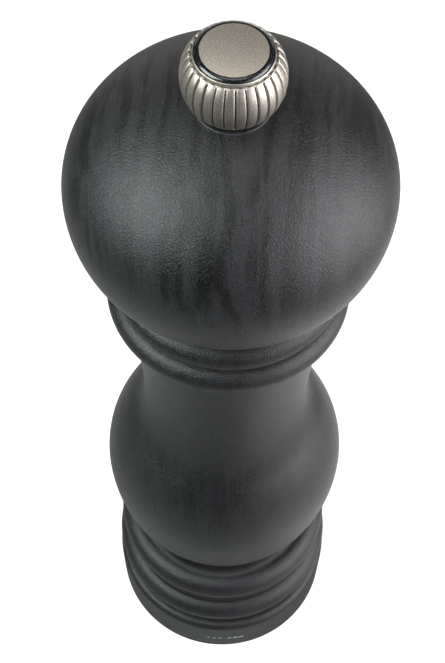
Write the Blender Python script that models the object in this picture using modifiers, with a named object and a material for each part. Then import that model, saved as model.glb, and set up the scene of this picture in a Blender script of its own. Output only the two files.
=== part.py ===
"""A pepper mill: a turned wooden body and ball head, a conical grinding mechanism set by a ring at the base,
and a barrel-shaped metal knob that screws down on the spindle and holds the head on.

The mill stands on Z = 0 with its spindle on the Z axis. Every size is in millimetres and is turned into
metres where a mesh is made. A profile is a list of (radius, height) points, listed down the outer side and
back up the inner side. Neighbouring parts keep GAP between them.
"""

import math

import bmesh
import bpy
from mathutils import Matrix, Vector

MM = 0.001
GAP = 0.3

# Outside of the mill
MILL_HEIGHT = 220.0
BALL_RADIUS, BALL_Z, BALL_RISE, BALL_DROP = 29.7, 185.8, 22.4, 26.8
BALL_FULLNESS = 2.07
SEAT_Z, SEAT_RADIUS = 207.9, 6.4
HEAD_RING_RADIUS, HEAD_RING_Z, HEAD_BEAD = 23.05, 160.6, 2.5
BODY_RING_RADIUS, BODY_RING_Z, BODY_BEAD = 24.2, 153.0, 2.85
HEAD_SEAM_Z, BODY_TOP_Z, SEAM_RADIUS = 157.3, 157.0, 21.5
WAIST_RADIUS, WAIST_Z = 18.4, 112.0
BULB_RADIUS, BULB_Z, BULB_RISE, BULB_DROP = 28.8, 77.7, 32.5, 41.4
NECK_RADIUS, NECK_Z = 21.5, 48.0
UPPER_RING_RADIUS, UPPER_RING_Z, BASE_BEAD = 27.7, 39.9, 4.0
LOWER_RING_RADIUS, LOWER_RING_Z = 29.0, 25.0
GROOVE_RADIUS = 25.6
BODY_BOTTOM_Z = 17.4

# Peppercorn chamber and the recess that takes the head's tenon
CHAMBER_RADIUS, THROAT_RADIUS = 14.0, 12.5
THROAT_TOP, CHAMBER_BOTTOM = 46.0, 49.0
RECESS_RADIUS, RECESS_Z = 17.5, 148.6
TENON_RADIUS, TENON_Z, TENON_CHAMFER = 17.1, 149.8, 0.8
HEAD_BORE, FERRULE_SEAT_RADIUS, FERRULE_SEAT_Z = 5.0, 5.7, 197.5
PLATE_RADIUS, PLATE_BORE, PLATE_RECESS = 11.0, 1.0, 2.0
FERRULE_RADIUS, FERRULE_BORE, FERRULE_BOTTOM, FERRULE_TOP = 5.4, 3.0, 198.0, 207.6
COUNTERBORE_RADIUS, COUNTERBORE_Z = 22.3, 38.0

# Grind ring and its cam
BAND_RADIUS, BAND_INNER, BAND_HEIGHT = 29.5, 25.3, 17.0
BAND_ROUND, BAND_CHAMFER = 2.0, 0.8
CAM_INNER, CAM_OUTER, CAM_BOTTOM, CAM_TOP = 22.3, 25.0, 5.0, 12.2
CAM_RISE, CAM_TURN, CAM_STEPS = 1.2, 90.0, 48
SETTINGS = 6

# Cage, carrier and burrs
CAGE_RADIUS, CAGE_INNER, CAGE_BOTTOM = 22.0, 18.5, 5.0
PLATE_BOTTOM, PLATE_TOP = 34.7, 37.7
CAGE_HUB_RADIUS, CAGE_HUB_BORE, CAGE_ARM_WIDTH = 6.8, 4.7, 2.4
CARRIER_RADIUS, CARRIER_INNER, CARRIER_BOTTOM, CARRIER_TOP = 18.2, 16.0, 8.4, 25.0
EAR_WIDTH, EAR_REACH, EAR_BOTTOM, EAR_TOP = 8.0, 24.7, 12.5, 15.5
EAR_ANGLES = (90.0, 210.0, 330.0)
SCREW_ANGLES = (30.0, 150.0, 270.0)
CLICK_ANGLE = 60.0
CLICK_RADIUS, NOTCH_RADIUS = 20.4, 1.2
CLICK_NOSE, CLICK_LOW, CLICK_HIGH = 1.5, 5.4, 12.6
OUTER_BURR = [(15.7, 21.5), (15.7, 8.7), (13.4, 8.7), (13.2, 9.5), (10.2, 20.0), (11.4, 21.5)]
INNER_BURR = [(0, 21.0), (8.0, 21.0), (8.6, 19.5), (12.4, 8.2), (12.4, 6.7), (0, 6.7)]
CARRIER_LIP, CARRIER_LIP_TOP, CARRIER_LIP_Z = 12.6, 13.6, 21.8

# Carrier spring
WIRE_RADIUS, COIL_RADIUS, COIL_TURNS, STEPS_EACH_TURN = 0.6, 15.5, 3.5, 12

# Spindle
SQUARE = 6.0
THREAD_RADIUS, JOURNAL_RADIUS = 2.5, 2.9
SPINDLE_BOTTOM, JOURNAL_TOP, SQUARE_TOP, SPINDLE_TOP = 0.6, 6.7, 195.0, 215.2
CLIP_GROOVE_RADIUS, CLIP_GROOVE_LOW, CLIP_GROOVE_HIGH = 2.1, 0.95, 2.05
CLIP_RADIUS, CLIP_BORE, CLIP_LOW, CLIP_HIGH = 4.6, 2.4, 1.1, 1.9
THRUST_WASHER_RADIUS = 6.5
PUSH_WASHER_RADIUS, PUSH_WASHER_LOW, PUSH_WASHER_HIGH = 5.4, 21.3, 22.3

# Bottom bridge
BRIDGE_BOTTOM, BRIDGE_TOP, BRIDGE_RADIUS, BRIDGE_INNER = 2.2, 4.7, 24.0, 17.5
BRIDGE_HUB_RADIUS, BRIDGE_ARM_WIDTH = 6.2, 4.0

# Screws
CAGE_SCREW_CIRCLE, CAGE_SCREW_RADIUS, CAGE_SCREW_HEAD = 16.0, 1.2, 2.4
CAGE_SCREW_LOW, CAGE_SCREW_HIGH, CAGE_SINK_RADIUS = 35.0, 46.5, 2.7
BRIDGE_SCREW_CIRCLE, BRIDGE_SCREW_RADIUS, BRIDGE_SCREW_HEAD = 20.25, 0.8, 2.0
BRIDGE_SCREW_LOW, BRIDGE_SCREW_HIGH = 0.7, 13.0
PLATE_SCREW_CIRCLE, PLATE_SCREW_RADIUS, PLATE_SCREW_HEAD = 8.0, 1.0, 2.0
PLATE_SCREW_LOW, PLATE_SCREW_HIGH = 148.6, 160.0
SCREW_HEAD_HEIGHT, SCREW_POINT = 1.2, 2.0

# Knob
KNOB_FOOT_Z, KNOB_FOOT_RADIUS = 208.3, 5.9
KNOB_RADIUS, KNOB_BELLY_Z, KNOB_CORE, KNOB_HALF_HEIGHT = 8.6, 214.2, 3.9, 6.4
KNOB_RIM_RADIUS, KNOB_RECESS_RADIUS, KNOB_RECESS_Z = 7.2, 6.1, 218.9
KNOB_CAVITY_Z = 216.8
NUT_RADIUS, NUT_BORE, NUT_BOTTOM, NUT_TOP = 4.0, 2.8, 208.9, 216.4
TRIM_INNER, TRIM_TOP = 5.3, 219.7
DISC_RADIUS, DISC_TOP = 5.0, 219.9

LARGE, MEDIUM, SMALL, TINY = 36, 28, 16, 10

# Colour, roughness, metallic
GRAPHITE_WOOD = ((0.035, 0.036, 0.038), 0.55, 0.0)
NICKEL = ((0.62, 0.60, 0.57), 0.35, 1.0)
STEEL = ((0.42, 0.42, 0.43), 0.4, 1.0)
HARDENED_STEEL = ((0.22, 0.22, 0.23), 0.45, 1.0)
BRASS = ((0.62, 0.47, 0.2), 0.35, 1.0)
BLACK_PLASTIC = ((0.02, 0.02, 0.022), 0.5, 0.0)
GREY_PLASTIC = ((0.12, 0.12, 0.13), 0.5, 0.0)
BLACK_LACQUER = ((0.008, 0.008, 0.009), 0.4, 0.0)
SILVER_DISC = ((0.7, 0.69, 0.67), 0.3, 1.0)


def start_scene():
    """Clear the scene and return the collections for the mill's parts and for the cutters."""
    for old in list(bpy.data.objects):
        bpy.data.objects.remove(old)
    parts = bpy.data.collections.new("pepper_mill")
    cutters = bpy.data.collections.new("cutters")
    for collection in (parts, cutters):
        bpy.context.scene.collection.children.link(collection)
    return parts, cutters


PARTS, CUTTERS = start_scene()


def material(name, finish):
    """A plain material from a (colour, roughness, metallic) finish, made once for each name."""
    found = bpy.data.materials.get(name)
    if found:
        return found
    colour, roughness, metallic = finish
    made = bpy.data.materials.new(name)
    made.use_nodes = True
    shader = made.node_tree.nodes["Principled BSDF"]
    shader.inputs["Base Color"].default_value = (*colour, 1.0)
    shader.inputs["Roughness"].default_value = roughness
    shader.inputs["Metallic"].default_value = metallic
    made.diffuse_color = (*colour, 1.0)
    return made


# Profiles


def arc(centre, radii, start, end, count, fullness=2.0):
    """Points on an ellipse in a profile, from the start to the end angle in degrees. A fullness over 2 squares it."""
    points = []
    for i in range(count + 1):
        angle = math.radians(start + (end - start) * i / count)
        across, up = math.cos(angle), math.sin(angle)
        across = math.copysign(abs(across) ** (2 / fullness), across)
        up = math.copysign(abs(up) ** (2 / fullness), up)
        points.append((centre[0] + radii[0] * across, centre[1] + radii[1] * up))
    return points


def cove(start, first, second, end, count):
    """Points on a Bezier curve between two stretches of a profile, without its two ends."""
    points = []
    for i in range(1, count):
        t = i / count
        weights = ((1 - t) ** 3, 3 * t * (1 - t) ** 2, 3 * t * t * (1 - t), t**3)
        controls = zip(weights, (start, first, second, end))
        mixed = [(w * p[0], w * p[1]) for w, p in controls]
        points.append((sum(p[0] for p in mixed), sum(p[1] for p in mixed)))
    return points


def bead(radius, height, size, start, end, count):
    """A half-round bead whose outermost radius is given."""
    return arc((radius - size, height), (size, size), start, end, count)


def body_outline():
    """The body's outer side, from the rim under the head down to its lower face."""
    collar = bead(BODY_RING_RADIUS, BODY_RING_Z, BODY_BEAD, 78, -66, 6)
    waist = (WAIST_RADIUS, WAIST_Z)
    bulb_top = arc((0, BULB_Z), (BULB_RADIUS, BULB_RISE), 41, 0, 6)
    bulb_foot = arc((0, BULB_Z), (BULB_RADIUS, BULB_DROP), 0, -37, 5)[1:]
    neck = (NECK_RADIUS, NECK_Z)
    upper = bead(UPPER_RING_RADIUS, UPPER_RING_Z, BASE_BEAD, 98, -60, 6)
    lower = bead(LOWER_RING_RADIUS, LOWER_RING_Z, BASE_BEAD, 80, -72, 6)
    flare = cove(collar[-1], (20.6, 146.0), (WAIST_RADIUS, 134.0), waist, 6)
    swell = cove(waist, (WAIST_RADIUS, 105.5), (19.6, 102.0), bulb_top[0], 4)
    under_bulb = cove(bulb_foot[-1], (21.9, 50.8), (NECK_RADIUS, 49.4), neck, 3)
    scoop = cove(neck, (NECK_RADIUS, 45.6), (21.8, 44.2), upper[0], 3)
    groove = (GROOVE_RADIUS, (upper[-1][1] + lower[0][1]) / 2)
    outline = [(SEAM_RADIUS, BODY_TOP_Z), *collar, *flare, waist, *swell, *bulb_top, *bulb_foot]
    outline += [*under_bulb, neck, *scoop, *upper, groove, *lower]
    return outline + [(GROOVE_RADIUS + 0.3, 20.6), (GROOVE_RADIUS + 0.3, BODY_BOTTOM_Z)]


def head_outline():
    """The head's outer side, from the flat under the knob down to the seam."""
    crown = arc((0, BALL_Z), (BALL_RADIUS, BALL_RISE), 78, 0, 10, BALL_FULLNESS)
    under = arc((0, BALL_Z), (BALL_RADIUS, BALL_DROP), 0, -50, 6)[1:]
    rim = bead(HEAD_RING_RADIUS, HEAD_RING_Z, HEAD_BEAD, 104, -72, 6)
    hollow = cove(under[-1], (18.5, 164.6), (18.6, 163.2), rim[0], 3)
    return [(SEAT_RADIUS, SEAT_Z), *crown, *under, *hollow, *rim, (SEAM_RADIUS, HEAD_SEAM_Z)]


def knob_outline():
    """The knob's outer side, from its rim down to its foot."""
    barrel = arc((KNOB_CORE, KNOB_BELLY_Z), (KNOB_RADIUS - KNOB_CORE, KNOB_HALF_HEIGHT), 48, -66, 8)
    return [(6.4, MILL_HEIGHT), (6.9, MILL_HEIGHT - 0.1), (KNOB_RIM_RADIUS, MILL_HEIGHT - 0.5), *barrel]


# Meshes


def place(mesh, name, collection):
    """Add a mesh to the scene as an object."""
    made = bpy.data.objects.new(name, mesh)
    collection.objects.link(made)
    return made


def turned(name, profile, steps, closed=True):
    """A solid turned about Z from a profile in millimetres. An open profile starts and ends on the axis."""
    mesh = bpy.data.meshes.new(name)
    points = [(radius * MM, 0.0, height * MM) for radius, height in profile]
    count = len(points)
    edges = [(i, (i + 1) % count) for i in range(count if closed else count - 1)]
    mesh.from_pydata(points, edges, [])
    made = place(mesh, name, PARTS)
    screw = made.modifiers.new("turn", "SCREW")
    screw.steps = steps
    screw.render_steps = steps
    screw.use_merge_vertices = True
    screw.merge_threshold = 0.000001
    return made


def box(name, size, centre, angle=0.0):
    """A box in millimetres, moved to its centre and then turned about Z by an angle in degrees."""
    mesh = bpy.data.meshes.new(name)
    shape = bmesh.new()
    bmesh.ops.create_cube(shape, size=1.0)
    turn = Matrix.Rotation(math.radians(angle), 4, "Z")
    move = Matrix.Translation(Vector(centre) * MM)
    scale = Matrix.Diagonal((size[0] * MM, size[1] * MM, size[2] * MM, 1.0))
    shape.transform(turn @ move @ scale)
    shape.to_mesh(mesh)
    shape.free()
    return place(mesh, name, CUTTERS)


def rod(name, radius, low, high, circle=0.0, angle=0.0, sides=TINY):
    """An upright cylinder in millimetres, standing on a circle about Z at an angle in degrees."""
    mesh = bpy.data.meshes.new(name)
    shape = bmesh.new()
    bmesh.ops.create_cone(
        shape, cap_ends=True, segments=sides, radius1=radius * MM, radius2=radius * MM, depth=(high - low) * MM
    )
    turn = Matrix.Rotation(math.radians(angle), 4, "Z")
    shape.transform(turn @ Matrix.Translation(Vector((circle, 0, (low + high) / 2)) * MM))
    shape.to_mesh(mesh)
    shape.free()
    return place(mesh, name, CUTTERS)


def combine(target, tool, operation):
    """Cut a helper shape from a part, or join it on, and hide the helper."""
    boolean = target.modifiers.new(tool.name, "BOOLEAN")
    boolean.operation = operation
    boolean.solver = "EXACT"
    boolean.object = tool
    for collection in list(tool.users_collection):
        collection.objects.unlink(tool)
    CUTTERS.objects.link(tool)
    tool.hide_render = True
    tool.display_type = "WIRE"


def cut(target, *tools):
    """Cut helper shapes from a part."""
    for tool in tools:
        combine(target, tool, "DIFFERENCE")


def join(target, *tools):
    """Join helper shapes to a part."""
    for tool in tools:
        combine(target, tool, "UNION")


def finish(part, name, finish_values, pivot):
    """Fix a part's modifiers into its mesh, shade its round faces smooth, and hang it on its body's pivot."""
    graph = bpy.context.evaluated_depsgraph_get()
    mesh = bpy.data.meshes.new_from_object(part.evaluated_get(graph))
    part.modifiers.clear()
    part.data = mesh
    mesh.name = part.name
    mesh.shade_smooth()
    mesh.set_sharp_from_angle(angle=math.radians(30))
    mesh.materials.clear()
    mesh.materials.append(material(name, finish_values))
    part.parent = pivot
    part.matrix_parent_inverse = pivot.matrix_world.inverted()
    return part


def pivot(name, parent=None):
    """An empty on the spindle's axis, which carries the parts of one moving body."""
    made = bpy.data.objects.new(name, None)
    made.empty_display_size = 0.01
    PARTS.objects.link(made)
    made.parent = parent
    return made


def ring(name, outer, inner, low, high, steps):
    """A plain washer or sleeve."""
    return turned(name, [(outer, high), (outer, low), (inner, low), (inner, high)], steps)


# Wooden parts


def build_body(body):
    """The body: one piece of turned wood, bored through for the peppercorns and counterbored at both ends."""
    inside = [
        (COUNTERBORE_RADIUS, BODY_BOTTOM_Z),
        (COUNTERBORE_RADIUS, COUNTERBORE_Z),
        (THROAT_RADIUS, COUNTERBORE_Z),
        (THROAT_RADIUS, THROAT_TOP),
        (CHAMBER_RADIUS, CHAMBER_BOTTOM),
        (CHAMBER_RADIUS, RECESS_Z),
        (RECESS_RADIUS, RECESS_Z),
        (RECESS_RADIUS, BODY_TOP_Z),
    ]
    shell = turned("body_shell", body_outline() + inside, LARGE)
    for i, angle in enumerate(SCREW_ANGLES):
        pilot = rod(f"body_pilot_{i}", CAGE_SCREW_RADIUS + GAP, 37.0, 47.2, CAGE_SCREW_CIRCLE, angle, 8)
        cut(shell, pilot)
    finish(shell, "graphite wood", GRAPHITE_WOOD, body)


def build_head(head):
    """The ball head with its tenon, the square-holed drive plate under it and the ferrule under the knob."""
    inside = [
        (TENON_RADIUS, HEAD_SEAM_Z),
        (TENON_RADIUS, TENON_Z + TENON_CHAMFER),
        (TENON_RADIUS - TENON_CHAMFER, TENON_Z),
        (PLATE_RADIUS + GAP, TENON_Z),
        (PLATE_RADIUS + GAP, TENON_Z + PLATE_RECESS),
        (HEAD_BORE, TENON_Z + PLATE_RECESS),
        (HEAD_BORE, FERRULE_SEAT_Z),
        (FERRULE_SEAT_RADIUS, FERRULE_SEAT_Z),
        (FERRULE_SEAT_RADIUS, SEAT_Z),
    ]
    shell = turned("head_shell", head_outline() + inside, LARGE)
    plate = ring("drive_plate", PLATE_RADIUS, PLATE_BORE, TENON_Z + GAP, TENON_Z + PLATE_RECESS - GAP, SMALL)
    middle = TENON_Z + PLATE_RECESS / 2
    cut(plate, box("plate_square", (SQUARE + 2 * GAP, SQUARE + 2 * GAP, 6.0), (0, 0, middle)))
    for i, angle in enumerate((0.0, 180.0)):
        radius = PLATE_SCREW_RADIUS + GAP
        cut(shell, rod(f"head_pilot_{i}", radius, TENON_Z, PLATE_SCREW_HIGH + 1, PLATE_SCREW_CIRCLE, angle, 8))
        cut(plate, rod(f"plate_hole_{i}", radius, TENON_Z - 2, TENON_Z + 3, PLATE_SCREW_CIRCLE, angle, 8))
    finish(shell, "graphite wood", GRAPHITE_WOOD, head)
    finish(plate, "steel", STEEL, head)
    for i, angle in enumerate((0.0, 180.0)):
        sizes = (PLATE_SCREW_RADIUS, PLATE_SCREW_HEAD, PLATE_SCREW_LOW, PLATE_SCREW_HIGH)
        build_screw(f"plate_screw_{i + 1}", *sizes, PLATE_SCREW_CIRCLE, angle, head)
    ferrule = ring("head_ferrule", FERRULE_RADIUS, FERRULE_BORE, FERRULE_BOTTOM, FERRULE_TOP, SMALL)
    finish(ferrule, "steel", STEEL, head)


def build_grind_ring(grind_ring):
    """The wooden band at the base and the cam inside it, whose three ramps lift the burr carrier."""
    corner = arc((BAND_RADIUS - BAND_ROUND, BAND_HEIGHT - BAND_ROUND), (BAND_ROUND, BAND_ROUND), 90, 0, 4)
    foot = [(BAND_RADIUS, BAND_CHAMFER), (BAND_RADIUS - BAND_CHAMFER, 0), (BAND_INNER, 0)]
    profile = [*corner, *foot, (BAND_INNER, BAND_HEIGHT)]
    finish(turned("grind_band", profile, LARGE), "graphite wood", GRAPHITE_WOOD, grind_ring)
    cam = ring("cam_ring", CAM_OUTER, CAM_INNER, CAM_BOTTOM, CAM_TOP, CAM_STEPS)
    shape_ramps(cam)
    for i in range(SETTINGS):
        angle = CLICK_ANGLE - i * CAM_TURN / (SETTINGS - 1)
        cut(cam, rod(f"notch_{i}", NOTCH_RADIUS, CAM_BOTTOM - 1, CAM_TOP + 3, CAM_INNER - 0.4, angle, 8))
    finish(cam, "grey plastic", GREY_PLASTIC, grind_ring)


def shape_ramps(cam):
    """Lift the cam's top face into three ramps, which climb as the ring turns anticlockwise under the ears."""
    graph = bpy.context.evaluated_depsgraph_get()
    mesh = bpy.data.meshes.new_from_object(cam.evaluated_get(graph))
    cam.modifiers.clear()
    cam.data = mesh
    step = 360.0 / CAM_STEPS
    mesh.transform(Matrix.Rotation(math.radians(step / 2), 4, "Z"))
    lead = 1.5 * step
    span = 360.0 / len(EAR_ANGLES)
    for vertex in mesh.vertices:
        if vertex.co.z < (CAM_TOP - 1) * MM:
            continue
        angle = math.degrees(math.atan2(vertex.co.y, vertex.co.x))
        behind = round((EAR_ANGLES[0] - angle + lead) % span, 3) % span
        vertex.co.z += CAM_RISE * (behind - lead) / CAM_TURN * MM


# Mechanism


def build_cage(body):
    """The fixed cage: a cup screwed up into the body, slotted for the carrier's ears, with a guide for the spindle."""
    profile = [
        (CAGE_RADIUS, PLATE_TOP),
        (CAGE_RADIUS, CAGE_BOTTOM),
        (CAGE_INNER, CAGE_BOTTOM),
        (CAGE_INNER, PLATE_BOTTOM),
        (THROAT_RADIUS, PLATE_BOTTOM),
        (THROAT_RADIUS, PLATE_TOP),
    ]
    cage = turned("mechanism_cage", profile, MEDIUM)
    join(cage, ring("cage_hub", CAGE_HUB_RADIUS, CAGE_HUB_BORE, PLATE_BOTTOM + 0.5, PLATE_TOP - GAP, SMALL))
    middle = (PLATE_BOTTOM + PLATE_TOP) / 2
    for i, angle in enumerate(EAR_ANGLES):
        join(cage, box(f"cage_arm_{i}", (7.4, CAGE_ARM_WIDTH, 2.0), (9.7, 0, middle), angle))
        slot_height = EAR_TOP + CAM_RISE + 2 * GAP - CAGE_BOTTOM + 1.0
        slot_middle = CAGE_BOTTOM - 1.0 + slot_height / 2
        cut(cage, box(f"cage_slot_{i}", (8.0, EAR_WIDTH + 2 * GAP, slot_height), (20.0, 0, slot_middle), angle))
    for i, angle in enumerate(SCREW_ANGLES):
        radius = CAGE_SCREW_RADIUS + GAP
        cut(cage, rod(f"cage_hole_{i}", radius, 33.0, 39.0, CAGE_SCREW_CIRCLE, angle, 8))
        cut(cage, rod(f"cage_sink_{i}", CAGE_SINK_RADIUS, 33.0, 36.5, CAGE_SCREW_CIRCLE, angle))
        cut(cage, rod(f"cage_tap_{i}", BRIDGE_SCREW_RADIUS + GAP, 4.0, 14.0, BRIDGE_SCREW_CIRCLE, angle, 8))
    cut(cage, box("click_slot", (8.0, 5.0, 9.0), (20.5, 0, 8.5), CLICK_ANGLE))
    finish(cage, "black plastic", BLACK_PLASTIC, body)
    for i, angle in enumerate(SCREW_ANGLES):
        sizes = (CAGE_SCREW_RADIUS, CAGE_SCREW_HEAD, CAGE_SCREW_LOW, CAGE_SCREW_HIGH)
        build_screw(f"cage_screw_{i + 1}", *sizes, CAGE_SCREW_CIRCLE, angle, body)


def build_click_spring(body):
    """The leaf with a round nose that clicks into the cam's notches, one for each grind setting."""
    leaf = rod("click_spring", CLICK_NOSE, CLICK_LOW, CLICK_HIGH, CLICK_RADIUS, CLICK_ANGLE)
    CUTTERS.objects.unlink(leaf)
    PARTS.objects.link(leaf)
    height, middle = CLICK_HIGH - CLICK_LOW, (CLICK_HIGH + CLICK_LOW) / 2
    join(leaf, box("click_leaf", (0.8, 4.4, height), (19.3, 0, middle), CLICK_ANGLE))
    finish(leaf, "steel", STEEL, body)


def build_bridge(body):
    """The bottom bridge: a three-armed plate that carries the spindle and keeps the grind ring up."""
    bridge = ring("bottom_bridge", BRIDGE_RADIUS, BRIDGE_INNER, BRIDGE_BOTTOM, BRIDGE_TOP, MEDIUM)
    low, high = BRIDGE_BOTTOM + 0.01, BRIDGE_TOP - 0.01
    join(bridge, ring("bridge_hub", BRIDGE_HUB_RADIUS, JOURNAL_RADIUS + GAP, low, high, SMALL))
    middle = (BRIDGE_BOTTOM + BRIDGE_TOP) / 2
    for i, angle in enumerate(SCREW_ANGLES):
        join(bridge, box(f"bridge_arm_{i}", (13.6, BRIDGE_ARM_WIDTH, 2.2), (11.7, 0, middle), angle))
        cut(bridge, rod(f"bridge_hole_{i}", BRIDGE_SCREW_RADIUS + GAP, 1.0, 6.0, BRIDGE_SCREW_CIRCLE, angle, 8))
    finish(bridge, "steel", STEEL, body)
    for i, angle in enumerate(SCREW_ANGLES):
        sizes = (BRIDGE_SCREW_RADIUS, BRIDGE_SCREW_HEAD, BRIDGE_SCREW_LOW, BRIDGE_SCREW_HIGH)
        build_screw(f"bridge_screw_{i + 1}", *sizes, BRIDGE_SCREW_CIRCLE, angle, body)


def build_screw(name, shank, head, low, high, circle, angle, carrier):
    """A screw driven upwards: a pan head below and a pointed shank above, on a circle about the spindle."""
    profile = [
        (0, high),
        (shank * 0.5, high - 0.6),
        (shank, high - SCREW_POINT),
        (shank, low + SCREW_HEAD_HEIGHT),
        (head, low + SCREW_HEAD_HEIGHT),
        (head, low + 0.4),
        (head - 0.4, low),
        (0, low),
    ]
    screw = turned(name, profile, TINY, closed=False)
    finish(screw, "steel", STEEL, carrier)
    screw.data.transform(Matrix.Translation((circle * MM, 0, 0)))
    screw.data.transform(Matrix.Rotation(math.radians(angle), 4, "Z"))


def build_carrier(carrier):
    """The carrier that slides in the cage on three ears, and the toothed outer burr seated in it."""
    profile = [
        (CARRIER_RADIUS, CARRIER_TOP),
        (CARRIER_RADIUS, CARRIER_BOTTOM),
        (CARRIER_INNER, CARRIER_BOTTOM),
        (CARRIER_INNER, CARRIER_LIP_Z),
        (CARRIER_LIP, CARRIER_LIP_Z),
        (CARRIER_LIP_TOP, CARRIER_TOP),
    ]
    cup = turned("burr_carrier", profile, MEDIUM)
    reach = EAR_REACH - 17.0
    middle = (EAR_BOTTOM + EAR_TOP) / 2
    for i, angle in enumerate(EAR_ANGLES):
        ear = box(f"carrier_ear_{i}", (reach, EAR_WIDTH, EAR_TOP - EAR_BOTTOM), (17.0 + reach / 2, 0, middle), angle)
        join(cup, ear)
    finish(cup, "grey plastic", GREY_PLASTIC, carrier)
    finish(turned("outer_burr", OUTER_BURR, MEDIUM), "hardened steel", HARDENED_STEEL, carrier)


def build_spindle(spindle):
    """The square shaft with a journal below and a threaded end above, and what it carries."""
    lower = [
        (0, JOURNAL_TOP + 2),
        (JOURNAL_RADIUS, JOURNAL_TOP + 2),
        (JOURNAL_RADIUS, CLIP_GROOVE_HIGH),
        (CLIP_GROOVE_RADIUS, CLIP_GROOVE_HIGH),
        (CLIP_GROOVE_RADIUS, CLIP_GROOVE_LOW),
        (JOURNAL_RADIUS, CLIP_GROOVE_LOW),
        (JOURNAL_RADIUS, SPINDLE_BOTTOM),
        (0, SPINDLE_BOTTOM),
    ]
    upper = [
        (0, SPINDLE_TOP),
        (THREAD_RADIUS - 0.6, SPINDLE_TOP),
        (THREAD_RADIUS, SPINDLE_TOP - 0.8),
        (THREAD_RADIUS, SQUARE_TOP - 2),
        (0, SQUARE_TOP - 2),
    ]
    length = SQUARE_TOP - JOURNAL_TOP
    shaft = box("spindle_shaft", (SQUARE, SQUARE, length), (0, 0, JOURNAL_TOP + length / 2))
    CUTTERS.objects.unlink(shaft)
    PARTS.objects.link(shaft)
    join(shaft, turned("shaft_journal", lower, SMALL, closed=False))
    join(shaft, turned("shaft_thread", upper, SMALL, closed=False))
    finish(shaft, "steel", STEEL, spindle)
    burr = turned("inner_burr", INNER_BURR, MEDIUM, closed=False)
    cut(burr, box("burr_square", (SQUARE + 2 * GAP, SQUARE + 2 * GAP, 30.0), (0, 0, 14.0)))
    finish(burr, "hardened steel", HARDENED_STEEL, spindle)
    low, high = BRIDGE_TOP + GAP, JOURNAL_TOP - GAP
    washer = ring("thrust_washer", THRUST_WASHER_RADIUS, JOURNAL_RADIUS + GAP, low, high, SMALL)
    finish(washer, "brass", BRASS, spindle)
    push = ring("push_washer", PUSH_WASHER_RADIUS, 1.0, PUSH_WASHER_LOW, PUSH_WASHER_HIGH, SMALL)
    cut(push, box("push_square", (SQUARE + 2 * GAP, SQUARE + 2 * GAP, 4.0), (0, 0, 21.8)))
    finish(push, "steel", STEEL, spindle)
    clip = ring("retaining_clip", CLIP_RADIUS, CLIP_BORE, CLIP_LOW, CLIP_HIGH, SMALL)
    cut(clip, box("clip_mouth", (6.0, 3.6, 3.0), (4.0, 0, 1.5), 45))
    finish(clip, "steel", STEEL, spindle)


def build_carrier_spring(body):
    """The coil spring that presses the carrier down on the cam."""
    low, high = CARRIER_TOP + GAP + WIRE_RADIUS, PLATE_BOTTOM - GAP - WIRE_RADIUS
    count = int(COIL_TURNS * STEPS_EACH_TURN)
    curve = bpy.data.curves.new("carrier_spring", "CURVE")
    curve.dimensions = "3D"
    curve.bevel_depth = WIRE_RADIUS * MM
    curve.bevel_resolution = 2
    curve.use_fill_caps = True
    spline = curve.splines.new("POLY")
    spline.points.add(count)
    for i, point in enumerate(spline.points):
        angle = math.tau * i / STEPS_EACH_TURN
        height = low + (high - low) * i / count
        spot = (COIL_RADIUS * math.cos(angle), COIL_RADIUS * math.sin(angle), height)
        point.co = (*(value * MM for value in spot), 1.0)
    curve.materials.append(material("steel", STEEL))
    coil = bpy.data.objects.new("carrier_spring", curve)
    PARTS.objects.link(coil)
    coil.parent = body


# Knob


def build_knob(nut_pivot, knob):
    """The knob: a barrel-shaped metal shell on a brass nut, with a black ring and a plain disc let into its top."""
    inside = [
        (KNOB_FOOT_RADIUS, KNOB_FOOT_Z),
        (NUT_RADIUS + GAP, KNOB_FOOT_Z),
        (NUT_RADIUS + GAP, KNOB_CAVITY_Z),
        (0, KNOB_CAVITY_Z),
    ]
    top = [(0, KNOB_RECESS_Z), (KNOB_RECESS_RADIUS, KNOB_RECESS_Z), (KNOB_RECESS_RADIUS, MILL_HEIGHT)]
    shell = turned("knob_shell", top + knob_outline() + inside, MEDIUM, closed=False)
    finish(shell, "satin nickel", NICKEL, knob)
    finish(ring("knob_nut", NUT_RADIUS, NUT_BORE, NUT_BOTTOM, NUT_TOP, SMALL), "brass", BRASS, nut_pivot)
    floor = KNOB_RECESS_Z + GAP
    trim = ring("knob_trim_ring", KNOB_RECESS_RADIUS - GAP, TRIM_INNER, floor, TRIM_TOP, MEDIUM)
    finish(trim, "black lacquer", BLACK_LACQUER, knob)
    edge = [(DISC_RADIUS - 0.2, DISC_TOP), (DISC_RADIUS, DISC_TOP - 0.2), (DISC_RADIUS, floor)]
    disc = turned("knob_disc", [(0, DISC_TOP), *edge, (0, floor)], MEDIUM, closed=False)
    finish(disc, "silver disc", SILVER_DISC, knob)


def build_mill():
    """Build every part on its body's pivot."""
    body = pivot("body_pivot")
    grind_ring = pivot("grind_ring_pivot", body)
    carrier = pivot("carrier_pivot", body)
    spindle = pivot("spindle_pivot", body)
    head = pivot("head_pivot", spindle)
    nut = pivot("nut_pivot", head)
    knob = pivot("knob_pivot", nut)
    build_body(body)
    build_cage(body)
    build_click_spring(body)
    build_bridge(body)
    build_carrier_spring(body)
    build_grind_ring(grind_ring)
    build_carrier(carrier)
    build_spindle(spindle)
    build_head(head)
    build_knob(nut, knob)


build_mill()
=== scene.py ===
"""A turned pepper mill in graphite-stained wood, with a fluted metal knob and a conical mechanism.

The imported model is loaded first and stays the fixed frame. Every piece built here rides on one of
its bodies. Sizes are in millimetres and become metres where a mesh is made. The mill stands on
Z = 0 about the Z axis.
"""

from __future__ import annotations

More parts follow.
